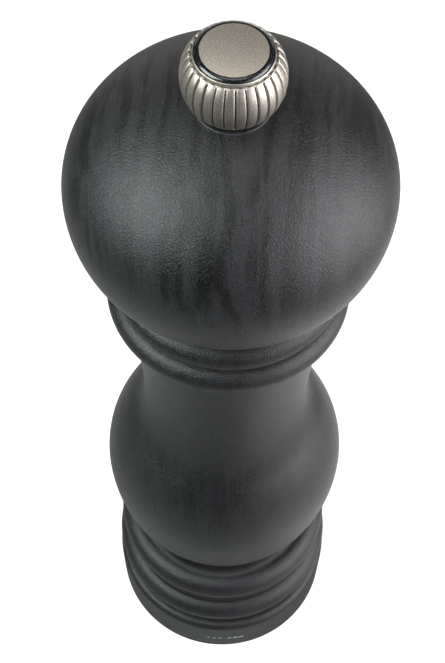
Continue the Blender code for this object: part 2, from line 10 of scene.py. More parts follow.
import logging
import math
from collections.abc import Sequence
from dataclasses import dataclass, field
from enum import Enum
from typing import Any, ClassVar

import bmesh
import bpy
from mathutils import Matrix, Vector


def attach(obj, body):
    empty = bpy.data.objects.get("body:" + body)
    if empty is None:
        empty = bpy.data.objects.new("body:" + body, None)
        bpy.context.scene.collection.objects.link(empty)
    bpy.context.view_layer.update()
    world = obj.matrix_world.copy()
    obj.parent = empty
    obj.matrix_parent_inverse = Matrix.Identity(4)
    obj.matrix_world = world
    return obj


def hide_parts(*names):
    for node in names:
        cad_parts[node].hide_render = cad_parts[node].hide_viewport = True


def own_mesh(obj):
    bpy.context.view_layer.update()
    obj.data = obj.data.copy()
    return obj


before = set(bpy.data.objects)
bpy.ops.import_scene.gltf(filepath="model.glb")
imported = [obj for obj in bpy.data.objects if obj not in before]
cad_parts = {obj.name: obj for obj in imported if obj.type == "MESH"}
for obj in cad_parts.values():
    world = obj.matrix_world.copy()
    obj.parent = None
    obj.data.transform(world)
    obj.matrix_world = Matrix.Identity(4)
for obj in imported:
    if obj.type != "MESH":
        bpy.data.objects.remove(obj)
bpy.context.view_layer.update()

MM = 0.001
POLE = 1e-6
GAP = 0.3
SHARP_TURN = math.radians(38)

Point = tuple[float, float]
Colour = tuple[float, float, float]
Value = Any

log = logging.getLogger("pepper_mill")


# Node trees


class Wiring:
    """Short calls that add nodes to one tree and join them."""

    def __init__(self, tree: bpy.types.NodeTree) -> None:
        """Hold the tree that the calls add to."""
        self.tree = tree

    def add(self, kind: str, **settings: Any) -> bpy.types.Node:
        """Add a node.

        Args:
            kind: The node's type name.
            **settings: Properties to set on it.

        Returns:
            The new node.
        """
        node = self.tree.nodes.new(kind)
        for key, value in settings.items():
            setattr(node, key, value)
        return node

    def feed(self, target: bpy.types.NodeSocket, value: Value) -> None:
        """Link a socket into the target, or set a plain value on it.

        Args:
            target: The input to feed.
            value: An output socket or a plain value.
        """
        if isinstance(value, bpy.types.NodeSocket):
            self.tree.links.new(value, target)
        else:
            target.default_value = value

    def math(self, operation: str, *values: Value, clamp: bool = False) -> bpy.types.NodeSocket:
        """Do one sum.

        Args:
            operation: The Math node's operation.
            *values: Sockets or numbers, in the node's order.
            clamp: Whether the result is held between 0 and 1.

        Returns:
            The result's socket.
        """
        node = self.add("ShaderNodeMath", operation=operation, use_clamp=clamp)
        for socket, value in zip(node.inputs, values):
            self.feed(socket, value)
        return node.outputs[0]

    def vector(self, operation: str, *values: Value) -> bpy.types.NodeSocket:
        """Do one sum on vectors.

        Args:
            operation: The Vector Math node's operation.
            *values: Sockets or vectors, in the node's order.

        Returns:
            The result's socket.
        """
        node = self.add("ShaderNodeVectorMath", operation=operation)
        for socket, value in zip(node.inputs, values):
            self.feed(socket, value)
        return node.outputs["Value"] if operation == "LENGTH" else node.outputs["Vector"]

    def scaled(self, vector: Value, factor: Value) -> bpy.types.NodeSocket:
        """Multiply a vector by one number.

        Args:
            vector: The vector's socket.
            factor: A socket or a number.

        Returns:
            The scaled vector's socket.
        """
        node = self.add("ShaderNodeVectorMath", operation="SCALE")
        self.feed(node.inputs[0], vector)
        self.feed(node.inputs["Scale"], factor)
        return node.outputs["Vector"]

    def product(self, first: Value, *others: Value) -> bpy.types.NodeSocket:
        """Multiply several numbers.

        Args:
            first: A socket or a number.
            *others: The numbers or sockets to multiply it by.

        Returns:
            The product's socket.
        """
        total = first
        for value in others:
            total = self.math("MULTIPLY", total, value)
        return total

    def point(self, across: Value = 0.0, along: Value = 0.0, up: Value = 0.0) -> bpy.types.NodeSocket:
        """Join three numbers into a vector.

        Args:
            across: Its X, a socket or a number.
            along: Its Y.
            up: Its Z.

        Returns:
            The vector's socket.
        """
        node = self.add("ShaderNodeCombineXYZ")
        for socket, value in zip(node.inputs, (across, along, up)):
            self.feed(socket, value)
        return node.outputs[0]

    def apart(self, vector: Value) -> Any:
        """Part a vector into its three numbers.

        Args:
            vector: The vector's socket.

        Returns:
            The sockets, by the names X, Y and Z.
        """
        node = self.add("ShaderNodeSeparateXYZ")
        self.feed(node.inputs[0], vector)
        return node.outputs

    def ramp(self, value: Value, low: Value, high: Value, smooth: bool = True) -> bpy.types.NodeSocket:
        """Rise from 0 at low to 1 at high, and stay within them.

        Args:
            value: The socket to read.
            low: The value that gives 0.
            high: The value that gives 1.
            smooth: Whether the rise eases in and out.

        Returns:
            The result's socket.
        """
        node = self.add("ShaderNodeMapRange", interpolation_type="SMOOTHSTEP" if smooth else "LINEAR")
        self.feed(node.inputs["Value"], value)
        self.feed(node.inputs["From Min"], low)
        self.feed(node.inputs["From Max"], high)
        return node.outputs["Result"]

    def noise(self, vector: Value, detail: float = 2.0, roughness: float = 0.5) -> bpy.types.NodeSocket:
        """Read a noise with features about one unit across.

        Args:
            vector: Where to read it.
            detail: How many finer layers it has.
            roughness: How strong the finer layers are.

        Returns:
            The noise's value socket.
        """
        node = self.add("ShaderNodeTexNoise")
        self.feed(node.inputs["Vector"], vector)
        node.inputs["Scale"].default_value = 1.0
        node.inputs["Detail"].default_value = detail
        node.inputs["Roughness"].default_value = roughness
        return node.outputs[0]

    def blend(self, share: Value, first: Value, second: Value) -> bpy.types.NodeSocket:
        """Mix two colours.

        Args:
            share: How much of the second colour shows.
            first: The colour at 0.
            second: The colour at 1.

        Returns:
            The mixed colour's socket.
        """
        node = self.add("ShaderNodeMix", data_type="RGBA")
        self.feed(node.inputs[0], share)
        self.feed(node.inputs[6], first)
        self.feed(node.inputs[7], second)
        return node.outputs[2]

    def level(self, base: float, *parts: tuple[Value, float]) -> bpy.types.NodeSocket:
        """Add weighted values to a base.

        Args:
            base: The value with nothing added.
            *parts: Pairs of a socket and its weight.

        Returns:
            The total's socket.
        """
        total: Value = base
        for value, weight in parts:
            total = self.math("MULTIPLY_ADD", value, weight, total)
        return total

    def place(self, effect: type[Effect], **values: Value) -> bpy.types.Node:
        """Place a shared effect.

        Args:
            effect: The effect's class.
            **values: Its inputs, with underscores for the spaces in their names.

        Returns:
            The group node.
        """
        node = self.add("ShaderNodeGroup", node_tree=effect.tree())
        for key, value in values.items():
            self.feed(node.inputs[key.replace("_", " ")], value)
        return node


@dataclass(frozen=True)
class Plug:
    """One socket on a node group's outside."""

    name: str
    kind: str = "NodeSocketFloat"
    value: Value = None

    def fit(self, tree: bpy.types.NodeTree, side: str) -> None:
        """Make the socket on a tree's outside.

        Args:
            tree: The tree that gets it.
            side: INPUT or OUTPUT.
        """
        made = tree.interface.new_socket(name=self.name, in_out=side, socket_type=self.kind)
        if self.value is not None:
            made.default_value = self.value


class NodeGroup:
    """A node tree with named sockets, built the first time that it is asked for."""

    name: ClassVar[str] = ""
    tree_type: ClassVar[str] = "ShaderNodeTree"
    takes: ClassVar[tuple[Plug, ...]] = ()
    gives: ClassVar[tuple[Plug, ...]] = ()

    @classmethod
    def tree(cls) -> bpy.types.NodeTree:
        """Find or build the tree.

        Returns:
            The finished node tree.
        """
        found = bpy.data.node_groups.get(cls.name)
        if found:
            return found
        made = bpy.data.node_groups.new(cls.name, cls.tree_type)
        for plug in cls.takes:
            plug.fit(made, "INPUT")
        for plug in cls.gives:
            plug.fit(made, "OUTPUT")
        wiring = Wiring(made)
        entry = wiring.add("NodeGroupInput")
        leave = wiring.add("NodeGroupOutput")
        for name, value in cls.wire(wiring, entry.outputs).items():
            wiring.feed(leave.inputs[name], value)
        return made

    @classmethod
    def wire(cls, wiring: Wiring, given: Any) -> dict[str, Value]:
        """Join up the inside and return each output's socket by name."""
        raise NotImplementedError


# Surface effects, shared by the finishes


class Effect(NodeGroup):
    """A shader effect that reads a position in millimetres and gives masks between 0 and 1."""


class WoodGrain(Effect):
    """Growth layers cut as long soft streaks, and short dark pores lying along them."""

    name = "wood_grain"
    takes = (
        Plug("Position", "NodeSocketVector"),
        Plug("Layer Pitch", value=3.0),
        Plug("Waver", value=0.6),
    )
    gives = (Plug("Streak"), Plug("Pore"))

    @classmethod
    def wire(cls, wiring: Wiring, given: Any) -> dict[str, Value]:
        """Stretch two noises along the grain, which runs up the mill and back through it.

        Args:
            wiring: The group's wiring.
            given: The group's inputs, by name.

        Returns:
            Each output's socket, by name.
        """
        lean = wiring.add("ShaderNodeVectorRotate", rotation_type="EULER_XYZ")
        wiring.feed(lean.inputs["Vector"], given["Position"])
        lean.inputs["Rotation"].default_value = (0.0, 0.11, 0.06)
        spot = lean.outputs[0]
        bend = wiring.noise(wiring.scaled(spot, 0.045), 1.0)
        pitch = wiring.math("DIVIDE", 1.0, given["Layer Pitch"])
        layers = wiring.vector("MULTIPLY", wiring.scaled(spot, pitch), (1.0, 0.1, 0.07))
        waver = wiring.product(wiring.product(bend, given["Waver"]), 4.0)
        shifted = wiring.vector("ADD", layers, wiring.scaled((1.0, 1.0, 1.0), waver))
        streak = wiring.ramp(wiring.noise(shifted, 4.0, 0.5), 0.36, 0.58)
        dashes = wiring.noise(wiring.vector("MULTIPLY", spot, (2.6, 0.2, 0.16)), 2.0)
        return {"Streak": streak, "Pore": wiring.ramp(dashes, 0.56, 0.72)}


class Speckle(Effect):
    """A fine granular variation, with broader clouds in it."""

    name = "speckle"
    takes = (Plug("Position", "NodeSocketVector"), Plug("Size", value=0.3))
    gives = (Plug("Grains"), Plug("Clouds"))

    @classmethod
    def wire(cls, wiring: Wiring, given: Any) -> dict[str, Value]:
        """Read one noise at the grain size and one some twenty times larger.

        Args:
            wiring: The group's wiring.
            given: The group's inputs, by name.

        Returns:
            Each output's socket, by name.
        """
        fine = wiring.scaled(given["Position"], wiring.math("DIVIDE", 1.0, given["Size"]))
        grains = wiring.ramp(wiring.noise(fine, 2.0, 0.7), 0.3, 0.7)
        clouds = wiring.ramp(wiring.noise(wiring.scaled(fine, 0.045), 3.0), 0.32, 0.68)
        return {"Grains": grains, "Clouds": clouds}


class Scratches(Effect):
    """Short straight scuffs running in several directions."""

    name = "scratches"
    directions: ClassVar[tuple[tuple[float, float, float], ...]] = (
        (0.3, 0.9, 0.2),
        (1.1, -0.5, 1.4),
        (-0.7, 0.4, 2.3),
        (0.5, -1.2, 0.8),
        (-0.2, 0.7, 1.0),
    )
    takes = (
        Plug("Position", "NodeSocketVector"),
        Plug("Spacing", value=1.2),
        Plug("Width", value=0.05),
        Plug("Length", value=0.5),
        Plug("Share", value=0.34),
    )
    gives = (Plug("Mask"),)

    @classmethod
    def wire(cls, wiring: Wiring, given: Any) -> dict[str, Value]:
        """Rule thin parallel lines in each direction and keep a short random stretch of a few of them.

        Args:
            wiring: The group's wiring.
            given: The group's inputs, by name.

        Returns:
            Each output's socket, by name.
        """
        spot = wiring.scaled(given["Position"], wiring.math("DIVIDE", 1.0, given["Spacing"]))
        total: Value = 0.0
        for turn in cls.directions:
            turned = wiring.add("ShaderNodeVectorRotate", rotation_type="EULER_XYZ")
            wiring.feed(turned.inputs["Vector"], spot)
            turned.inputs["Rotation"].default_value = turn
            parts = wiring.apart(turned.outputs[0])
            row = wiring.math("FLOOR", parts["X"])
            chance = wiring.add("ShaderNodeTexWhiteNoise", noise_dimensions="1D")
            wiring.feed(chance.inputs["W"], row)
            middle = wiring.math("MULTIPLY_ADD", chance.outputs["Value"], 0.8, 0.1)
            offset = wiring.math("SUBTRACT", wiring.math("FRACT", parts["X"]), middle)
            off = wiring.math("ABSOLUTE", offset)
            near = wiring.math("SUBTRACT", 1.0, wiring.ramp(off, 0.0, given["Width"], smooth=False))
            along = wiring.product(parts["Y"], given["Length"])
            up = wiring.product(parts["Z"], given["Length"])
            stretch = wiring.noise(wiring.point(wiring.product(row, 7.31), along, up), 0.0)
            low = wiring.math("SUBTRACT", 1.0, given["Share"])
            kept = wiring.ramp(stretch, low, wiring.math("ADD", low, 0.12))
            total = wiring.math("MAXIMUM", total, wiring.product(near, kept))
        return {"Mask": total}


class Relief(Effect):
    """Where a surface stands out or folds in, for worn edges and for painted shade in corners."""

    name = "relief"
    takes = (Plug("Position", "NodeSocketVector"), Plug("Reach", value=0.04))
    gives = (Plug("Edge"), Plug("Hollow"))

    @classmethod
    def wire(cls, wiring: Wiring, given: Any) -> dict[str, Value]:
        """Read the pointedness of the mesh on both sides of level, broken up by a noise.

        Args:
            wiring: The group's wiring.
            given: The group's inputs, by name.

        Returns:
            Each output's socket, by name.
        """
        point = wiring.add("ShaderNodeNewGeometry").outputs["Pointiness"]
        patchy = wiring.ramp(wiring.noise(wiring.scaled(given["Position"], 1.4), 3.0, 0.6), 0.3, 0.65)
        out = wiring.ramp(wiring.math("SUBTRACT", point, 0.505), 0.0, given["Reach"])
        inward = wiring.ramp(wiring.math("SUBTRACT", 0.495, point), 0.0, given["Reach"])
        return {"Edge": wiring.product(out, patchy), "Hollow": inward}


class TurningMarks(Effect):
    """Fine circles left about the mill's axis by a lathe tool or by turned brushing."""

    name = "turning_marks"
    takes = (Plug("Position", "NodeSocketVector"), Plug("Pitch", value=0.12))
    gives = (Plug("Mark"), Plug("Band"))

    @classmethod
    def wire(cls, wiring: Wiring, given: Any) -> dict[str, Value]:
        """Read a noise that changes with radius and height but hardly round the circle.

        Args:
            wiring: The group's wiring.
            given: The group's inputs, by name.

        Returns:
            Each output's socket, by name.
        """
        parts = wiring.apart(given["Position"])
        radius = wiring.vector("LENGTH", wiring.point(parts["X"], parts["Y"]))
        drift = wiring.noise(wiring.scaled(given["Position"], 0.35), 0.0)
        spot = wiring.point(radius, parts["Z"], wiring.product(drift, 0.5))
        fine = wiring.scaled(spot, wiring.math("DIVIDE", 1.0, given["Pitch"]))
        mark = wiring.ramp(wiring.noise(fine, 3.0, 0.65), 0.3, 0.7)
        band = wiring.ramp(wiring.noise(wiring.scaled(fine, 0.12), 1.0), 0.35, 0.65)
        return {"Mark": mark, "Band": band}


# Finishes


@dataclass(frozen=True)
class Finish:
    """A surface finish, made into a material once and shared by every piece that has it."""

    label: str
    slot: str

    def material(self) -> bpy.types.Material:
        """Find or make the material.

        Returns:
            The material with its nodes in place.
        """
        found = bpy.data.materials.get(self.label)
        if found:
            return found
        made = bpy.data.materials.new(self.label)
        made.use_nodes = True
        wiring = Wiring(made.node_tree)
        shader = made.node_tree.nodes["Principled BSDF"]
        spot = wiring.add("ShaderNodeTexCoord").outputs["Object"]
        self.paint(wiring, shader.inputs, wiring.scaled(spot, 1.0 / MM))
        return made

    def paint(self, wiring: Wiring, shader: Any, spot: Value) -> None:
        """Join the effects to the shader's inputs, reading places in millimetres."""
        raise NotImplementedError

    @staticmethod
    def bump(wiring: Wiring, shader: Any, height: Value, depth: float) -> None:
        """Give the surface a fine relief.

        Args:
            wiring: The material's wiring.
            shader: The shader's inputs.
            height: The relief's height, from 0 to 1.
            depth: Its full depth in millimetres.
        """
        node = wiring.add("ShaderNodeBump")
        node.inputs["Distance"].default_value = depth * MM
        wiring.feed(node.inputs["Height"], height)
        wiring.feed(shader["Normal"], node.outputs[0])


def paint_colour(colour: Colour, lift: float = 1.0) -> tuple[float, float, float, float]:
    """A colour with its alpha, made lighter or darker by a factor."""
    return (colour[0] * lift, colour[1] * lift, colour[2] * lift, 1.0)


@dataclass(frozen=True)
class GraphiteWood(Finish):
    """Turned hardwood under a graphite stain and a matt lacquer."""

    label: str = "graphite wood finish"
    slot: str = "graphite_wood"
    stain: Colour = (0.0003, 0.0003, 0.0004)
    bloom: Colour = (0.0125, 0.0125, 0.0135)
    scuff: Colour = (0.05, 0.051, 0.054)
    roughness: float = 0.33
    calm_below: float = 165.0
    lively_above: float = 200.0
    calm_share: float = 0.3

    def paint(self, wiring: Wiring, shader: Any, spot: Value) -> None:
        """Lay streaks, grains, scuffs and rubbed edges over the stain.

        Args:
            wiring: The material's wiring.
            shader: The shader's inputs.
            spot: Where the surface is, in millimetres.
        """
        shader["Specular IOR Level"].default_value = 0.32
        grain = wiring.place(WoodGrain, Position=spot, Layer_Pitch=1.9).outputs
        height = wiring.apart(spot)["Z"]
        rise = wiring.ramp(height, self.calm_below, self.lively_above)
        contrast = wiring.level(self.calm_share, (rise, 1.0 - self.calm_share))
        layers = wiring.math("SUBTRACT", grain["Streak"], 0.5)
        streak = wiring.math("MULTIPLY_ADD", layers, contrast, 0.5)
        speckle = wiring.place(Speckle, Position=spot, Size=0.28).outputs
        fine = {"Spacing": 0.6, "Width": 0.14, "Length": 0.7, "Share": 0.5}
        hairs = wiring.place(Scratches, Position=spot, **fine).outputs["Mask"]
        scuffs = wiring.place(Scratches, Position=spot, Spacing=1.3).outputs["Mask"]
        relief = wiring.place(Relief, Position=spot, Reach=0.03).outputs
        tone = wiring.level(
            -0.36,
            (streak, 0.72),
            (speckle["Grains"], 0.7),
            (speckle["Clouds"], 0.12),
            (hairs, 0.3),
        )
        tone = wiring.math("MAXIMUM", tone, 0.0)
        colour = wiring.blend(tone, paint_colour(self.stain), paint_colour(self.bloom))
        pores = wiring.product(grain["Pore"], 0.75)
        colour = wiring.blend(pores, colour, paint_colour(self.stain, 0.4))
        rubbed = wiring.product(relief["Edge"], 0.12)
        marked = wiring.math("MAXIMUM", wiring.product(scuffs, 0.2), rubbed)
        wiring.feed(shader["Base Color"], wiring.blend(marked, colour, paint_colour(self.scuff)))
        rough = wiring.level(
            self.roughness,
            (speckle["Grains"], 0.08),
            (streak, 0.03),
            (hairs, -0.06),
            (relief["Hollow"], 0.3),
        )
        wiring.feed(shader["Roughness"], rough)
        relief_height = wiring.level(
            0.3,
            (speckle["Grains"], 0.6),
            (grain["Pore"], -0.08),
            (streak, 0.03),
            (hairs, 0.16),
            (scuffs, -0.15),
        )
        self.bump(wiring, shader, relief_height, 0.06)


@dataclass(frozen=True)
class Plated(Finish):
    """A metal with a fine satin grain, with painted shade in its hollows and brighter on its edges."""

    label: str = "satin nickel finish"
    slot: str = "satin_nickel"
    metal: Colour = (0.43, 0.395, 0.35)
    shade: Colour = (0.15, 0.13, 0.11)
    roughness: float = 0.41
    grain_size: float = 0.24
    grain_share: float = 0.55
    hollow_shade_share: float = 0.85
    depth: float = 0.014

    def paint(self, wiring: Wiring, shader: Any, spot: Value) -> None:
        """Cloud the metal lightly, paint shade into its hollows and roughen it with grains.

        Args:
            wiring: The material's wiring.
            shader: The shader's inputs.
            spot: Where the surface is, in millimetres.
        """
        shader["Metallic"].default_value = 1.0
        speckle = wiring.place(Speckle, Position=spot, Size=self.grain_size).outputs
        scuffs = wiring.place(Scratches, Position=spot, Spacing=0.7).outputs["Mask"]
        relief = wiring.place(Relief, Position=spot, Reach=0.06).outputs
        tone = wiring.level(0.0, (speckle["Clouds"], 0.16), (speckle["Grains"], self.grain_share))
        colour = wiring.blend(tone, paint_colour(self.metal), paint_colour(self.shade))
        # Painted shade: the hollows are darkened towards a deep shade of the metal colour, and made
        # rougher.
        painted_hollow_shade = wiring.product(relief["Hollow"], self.hollow_shade_share)
        colour = wiring.blend(painted_hollow_shade, colour, paint_colour(self.shade, 0.3))
        worn = wiring.product(relief["Edge"], 0.5)
        colour = wiring.blend(worn, colour, paint_colour(self.metal, 1.25))
        wiring.feed(shader["Base Color"], colour)
        grains = speckle["Grains"]
        rough = wiring.level(
            self.roughness, (grains, 0.07), (speckle["Clouds"], 0.05), (scuffs, -0.06), (painted_hollow_shade, 0.25)
        )
        wiring.feed(shader["Roughness"], rough)
        self.bump(wiring, shader, wiring.level(0.5, (grains, 0.4), (scuffs, -0.3)), self.depth)


@dataclass(frozen=True)
class TurnedMetal(Finish):
    """A metal face brushed round and round, so that its light spreads across the marks."""

    label: str = "turned disc finish"
    slot: str = "silver_disc"
    metal: Colour = (0.56, 0.50, 0.435)
    shade: Colour = (0.17, 0.145, 0.12)
    roughness: float = 0.46
    pitch: float = 0.1
    mark_share: float = 0.08
    grain_share: float = 0.75
    depth: float = 0.02

    def paint(self, wiring: Wiring, shader: Any, spot: Value) -> None:
        """Lay fine circles and a granular tarnish over the metal.

        Args:
            wiring: The material's wiring.
            shader: The shader's inputs.
            spot: Where the surface is, in millimetres.
        """
        shader["Metallic"].default_value = 1.0
        marks = wiring.place(TurningMarks, Position=spot, Pitch=self.pitch).outputs
        speckle = wiring.place(Speckle, Position=spot, Size=0.2).outputs
        relief = wiring.place(Relief, Position=spot, Reach=0.05).outputs
        mark = marks["Mark"]
        grains = (speckle["Grains"], self.grain_share)
        bands = (marks["Band"], self.mark_share * 0.4)
        tone = wiring.level(0.0, (mark, self.mark_share), bands, grains)
        colour = wiring.blend(tone, paint_colour(self.metal), paint_colour(self.shade))
        # Painted shade: the hollows are darkened towards a deep shade of the metal colour.
        painted_hollow_shade = wiring.product(relief["Hollow"], 0.6)
        colour = wiring.blend(painted_hollow_shade, colour, paint_colour(self.shade, 0.3))
        wiring.feed(shader["Base Color"], colour)
        rough = wiring.level(self.roughness, (mark, 0.1), (speckle["Grains"], 0.06))
        wiring.feed(shader["Roughness"], rough)
        height = wiring.level(0.3, (mark, self.mark_share * 1.4), grains)
        self.bump(wiring, shader, height, self.depth)


@dataclass(frozen=True)
class BlackLacquer(Finish):
    """Deep black lacquer with a hard gloss and a faint ripple."""

    label: str = "black lacquer finish"
    slot: str = "black_lacquer"
    colour: Colour = (0.004, 0.0045, 0.0055)
    dust: Colour = (0.05, 0.052, 0.056)

    def paint(self, wiring: Wiring, shader: Any, spot: Value) -> None:
        """Sprinkle a little dust over the black and ripple the gloss.

        Args:
            wiring: The material's wiring.
            shader: The shader's inputs.
            spot: Where the surface is, in millimetres.
        """
        speckle = wiring.place(Speckle, Position=spot, Size=0.2).outputs
        specks = wiring.ramp(speckle["Grains"], 0.86, 1.0)
        colour = wiring.blend(specks, paint_colour(self.colour), paint_colour(self.dust))
        wiring.feed(shader["Base Color"], colour)
        wiring.feed(shader["Roughness"], wiring.level(0.14, (speckle["Clouds"], 0.06), (specks, 0.3)))
        self.bump(wiring, shader, speckle["Clouds"], 0.01)


@dataclass(frozen=True)
class MouldedPlastic(Finish):
    """Spark-textured moulded plastic, paler where it has been rubbed."""

    label: str = "black plastic finish"
    slot: str = "black_plastic"
    colour: Colour = (0.016, 0.016, 0.018)
    rubbed: Colour = (0.075, 0.075, 0.08)
    roughness: float = 0.46

    def paint(self, wiring: Wiring, shader: Any, spot: Value) -> None:
        """Texture the plastic, cloud it lightly and rub its edges.

        Args:
            wiring: The material's wiring.
            shader: The shader's inputs.
            spot: Where the surface is, in millimetres.
        """
        speckle = wiring.place(Speckle, Position=spot, Size=0.28).outputs
        relief = wiring.place(Relief, Position=spot, Reach=0.06).outputs
        scuffs = wiring.place(Scratches, Position=spot, Spacing=1.0).outputs["Mask"]
        tone = wiring.level(0.0, (speckle["Clouds"], 0.18), (relief["Edge"], 0.5), (scuffs, 0.22))
        colour = wiring.blend(tone, paint_colour(self.colour), paint_colour(self.rubbed))
        wiring.feed(shader["Base Color"], colour)
        rough = wiring.level(self.roughness, (speckle["Grains"], 0.1), (scuffs, -0.08))
        wiring.feed(shader["Roughness"], rough)
        self.bump(wiring, shader, speckle["Grains"], 0.03)


@dataclass(frozen=True)
class DotPaint(Finish):
    """Pale grey pad-printed paint, slightly worn through."""

    label: str = "setting dot paint"
    slot: str = "graphite_wood"
    paint_tone: Colour = (0.19, 0.192, 0.196)
    worn: Colour = (0.07, 0.071, 0.073)

    def paint(self, wiring: Wiring, shader: Any, spot: Value) -> None:
        """Wear the paint through in grains.

        Args:
            wiring: The material's wiring.
            shader: The shader's inputs.
            spot: Where the surface is, in millimetres.
        """
        speckle = wiring.place(Speckle, Position=spot, Size=0.3).outputs
        worn = wiring.product(wiring.ramp(speckle["Grains"], 0.6, 0.95), 0.7)
        colour = wiring.blend(worn, paint_colour(self.paint_tone), paint_colour(self.worn))
        wiring.feed(shader["Base Color"], colour)
        wiring.feed(shader["Roughness"], wiring.level(0.5, (speckle["Grains"], 0.1)))
        self.bump(wiring, shader, speckle["Grains"], 0.01)


@dataclass(frozen=True)
class StudioPaper(Finish):
    """The plain pale floor, which looks clean white and sends only a soft light back up."""

    label: str = "studio paper"
    slot: str = ""
    tone: Colour = (0.22, 0.22, 0.22)
    glow: float = 0.9

    def paint(self, wiring: Wiring, shader: Any, spot: Value) -> None:
        """Mottle the paper, and let it glow for the camera only.

        Args:
            wiring: The material's wiring.
            shader: The shader's inputs.
            spot: Where the surface is, in millimetres.
        """
        speckle = wiring.place(Speckle, Position=spot, Size=2.0).outputs
        tone = wiring.blend(speckle["Clouds"], paint_colour(self.tone), paint_colour(self.tone, 0.99))
        wiring.feed(shader["Base Color"], tone)
        shader["Roughness"].default_value = 0.9
        shader["Emission Color"].default_value = (1.0, 1.0, 1.0, 1.0)
        seen = wiring.add("ShaderNodeLightPath").outputs["Is Camera Ray"]
        wiring.feed(shader["Emission Strength"], wiring.product(seen, self.glow))


class Finishes(Enum):
    """The finishes of the mill."""

    WOOD = GraphiteWood()
    NICKEL = Plated()
    DISC = TurnedMetal()
    LACQUER = BlackLacquer()
    STEEL = Plated(
        label="zinc steel finish",
        slot="steel",
        metal=(0.50, 0.50, 0.51),
        shade=(0.26, 0.26, 0.25),
        roughness=0.3,
        grain_size=0.4,
        grain_share=0.14,
        depth=0.01,
    )
    HARD_STEEL = Plated(
        label="hardened steel finish",
        slot="hardened_steel",
        metal=(0.24, 0.24, 0.25),
        shade=(0.10, 0.095, 0.09),
        roughness=0.38,
        grain_size=0.3,
        grain_share=0.2,
        depth=0.02,
    )
    BRASS = TurnedMetal(
        label="turned brass finish",
        slot="brass",
        metal=(0.66, 0.48, 0.18),
        shade=(0.38, 0.26, 0.09),
        roughness=0.3,
        mark_share=0.35,
        grain_share=0.2,
    )
    BLACK_PLASTIC = MouldedPlastic()
    GREY_PLASTIC = MouldedPlastic(
        label="grey plastic finish",
        slot="grey_plastic",
        colour=(0.105, 0.105, 0.11),
        rubbed=(0.22, 0.22, 0.225),
    )
    DOTS = DotPaint()
    PAPER = StudioPaper()


# Profiles


def arc(
    centre: Point, radii: Point, start: float, end: float, count: int, fullness: float = 2.0
) -> list[Point]:
    """Points on an ellipse in a profile.

    Args:
        centre: Its middle, as a radius and a height.
        radii: Its half widths across and up.
        start: The first angle in degrees.
        end: The last angle in degrees.
        count: How many steps lie between them.
        fullness: 2 for an ellipse, and more for a squarer curve.

    Returns:
        The points, both ends included.
    """
    points = []
    for i in range(count + 1):
        angle = math.radians(start + (end - start) * i / count)
        across = math.copysign(abs(math.cos(angle)) ** (2 / fullness), math.cos(angle))
        up = math.copysign(abs(math.sin(angle)) ** (2 / fullness), math.sin(angle))
        points.append((centre[0] + radii[0] * across, centre[1] + radii[1] * up))
    return points


def cove(start: Point, first: Point, second: Point, end: Point, count: int) -> list[Point]:
    """Points on a Bezier curve that joins two stretches of a profile.

    Args:
        start: Where it leaves.
        first: Its first handle.
        second: Its second handle.
        end: Where it arrives.
        count: How many steps it has.

    Returns:
        The points between its ends.
    """
    points = []
    for i in range(1, count):
        t = i / count
        weights = ((1 - t) ** 3, 3 * t * (1 - t) ** 2, 3 * t * t * (1 - t), t**3)
        mixed = [(w * p[0], w * p[1]) for w, p in zip(weights, (start, first, second, end))]
        points.append((sum(p[0] for p in mixed), sum(p[1] for p in mixed)))
    return points


def bead(radius: float, height: float, size: float, start: float, end: float, count: int) -> list[Point]:
    """Points on a half-round bead whose outermost radius is given."""
    return arc((radius - size, height), (size, size), start, end, count)


def softened(outline: Sequence[Point], size: float, sharpest: float = 28.0) -> list[Point]:
    """Round off the sharp corners of a closed or open profile.

    Args:
        outline: The profile's points.
        size: How far the rounding reaches along each side, in millimetres.
        sharpest: The turn in degrees above which a corner is rounded.

    Returns:
        The profile with three points in place of each sharp corner.
    """
    closed = outline[0][0] > POLE
    made: list[Point] = []
    for i, (radius, height) in enumerate(outline):
        if not closed and i in (0, len(outline) - 1):
            made.append((radius, height))
            continue
        corner = Vector((radius, height))
        before = Vector(outline[i - 1]) - corner
        after = Vector(outline[(i + 1) % len(outline)]) - corner
        turn = 180.0 - math.degrees(before.angle(after))
        if turn < sharpest:
            made.append((radius, height))
            continue
        reach = min(size, before.length * 0.4, after.length * 0.4)
        first = corner + before.normalized() * reach
        last = corner + after.normalized() * reach
        middle = (first + last) * 0.25 + corner * 0.5
        made += [tuple(first), tuple(middle), tuple(last)]
    return made


def split(outline: Sequence[Point], longest: float) -> list[Point]:
    """Divide the long straight stretches of a profile.

    Args:
        outline: The profile's points.
        longest: The longest stretch that is left whole, in millimetres.

    Returns:
        The profile with points added.
    """
    made: list[Point] = []
    for start, end in zip(outline, outline[1:]):
        parts = max(1, math.ceil(math.dist(start, end) / longest))
        for i in range(parts):
            made.append(tuple(Vector(start).lerp(Vector(end), i / parts)))
    return [*made, outline[-1]]


# Meshes


def add_piece(name: str, shape: bmesh.types.BMesh) -> bpy.types.Object:
    """Turn a shape into a piece at the origin, smooth but for its sharp edges.

    Args:
        name: The piece's name.
        shape: Its mesh, which is used up.

    Returns:
        The new object.
    """
    bmesh.ops.recalc_face_normals(shape, faces=shape.faces)
    mesh = bpy.data.meshes.new(name)
    shape.to_mesh(mesh)
    shape.free()
    mesh.shade_smooth()
    mesh.set_sharp_from_angle(angle=SHARP_TURN)
    made = bpy.data.objects.new(name, mesh)
    bpy.context.scene.collection.objects.link(made)
    return made


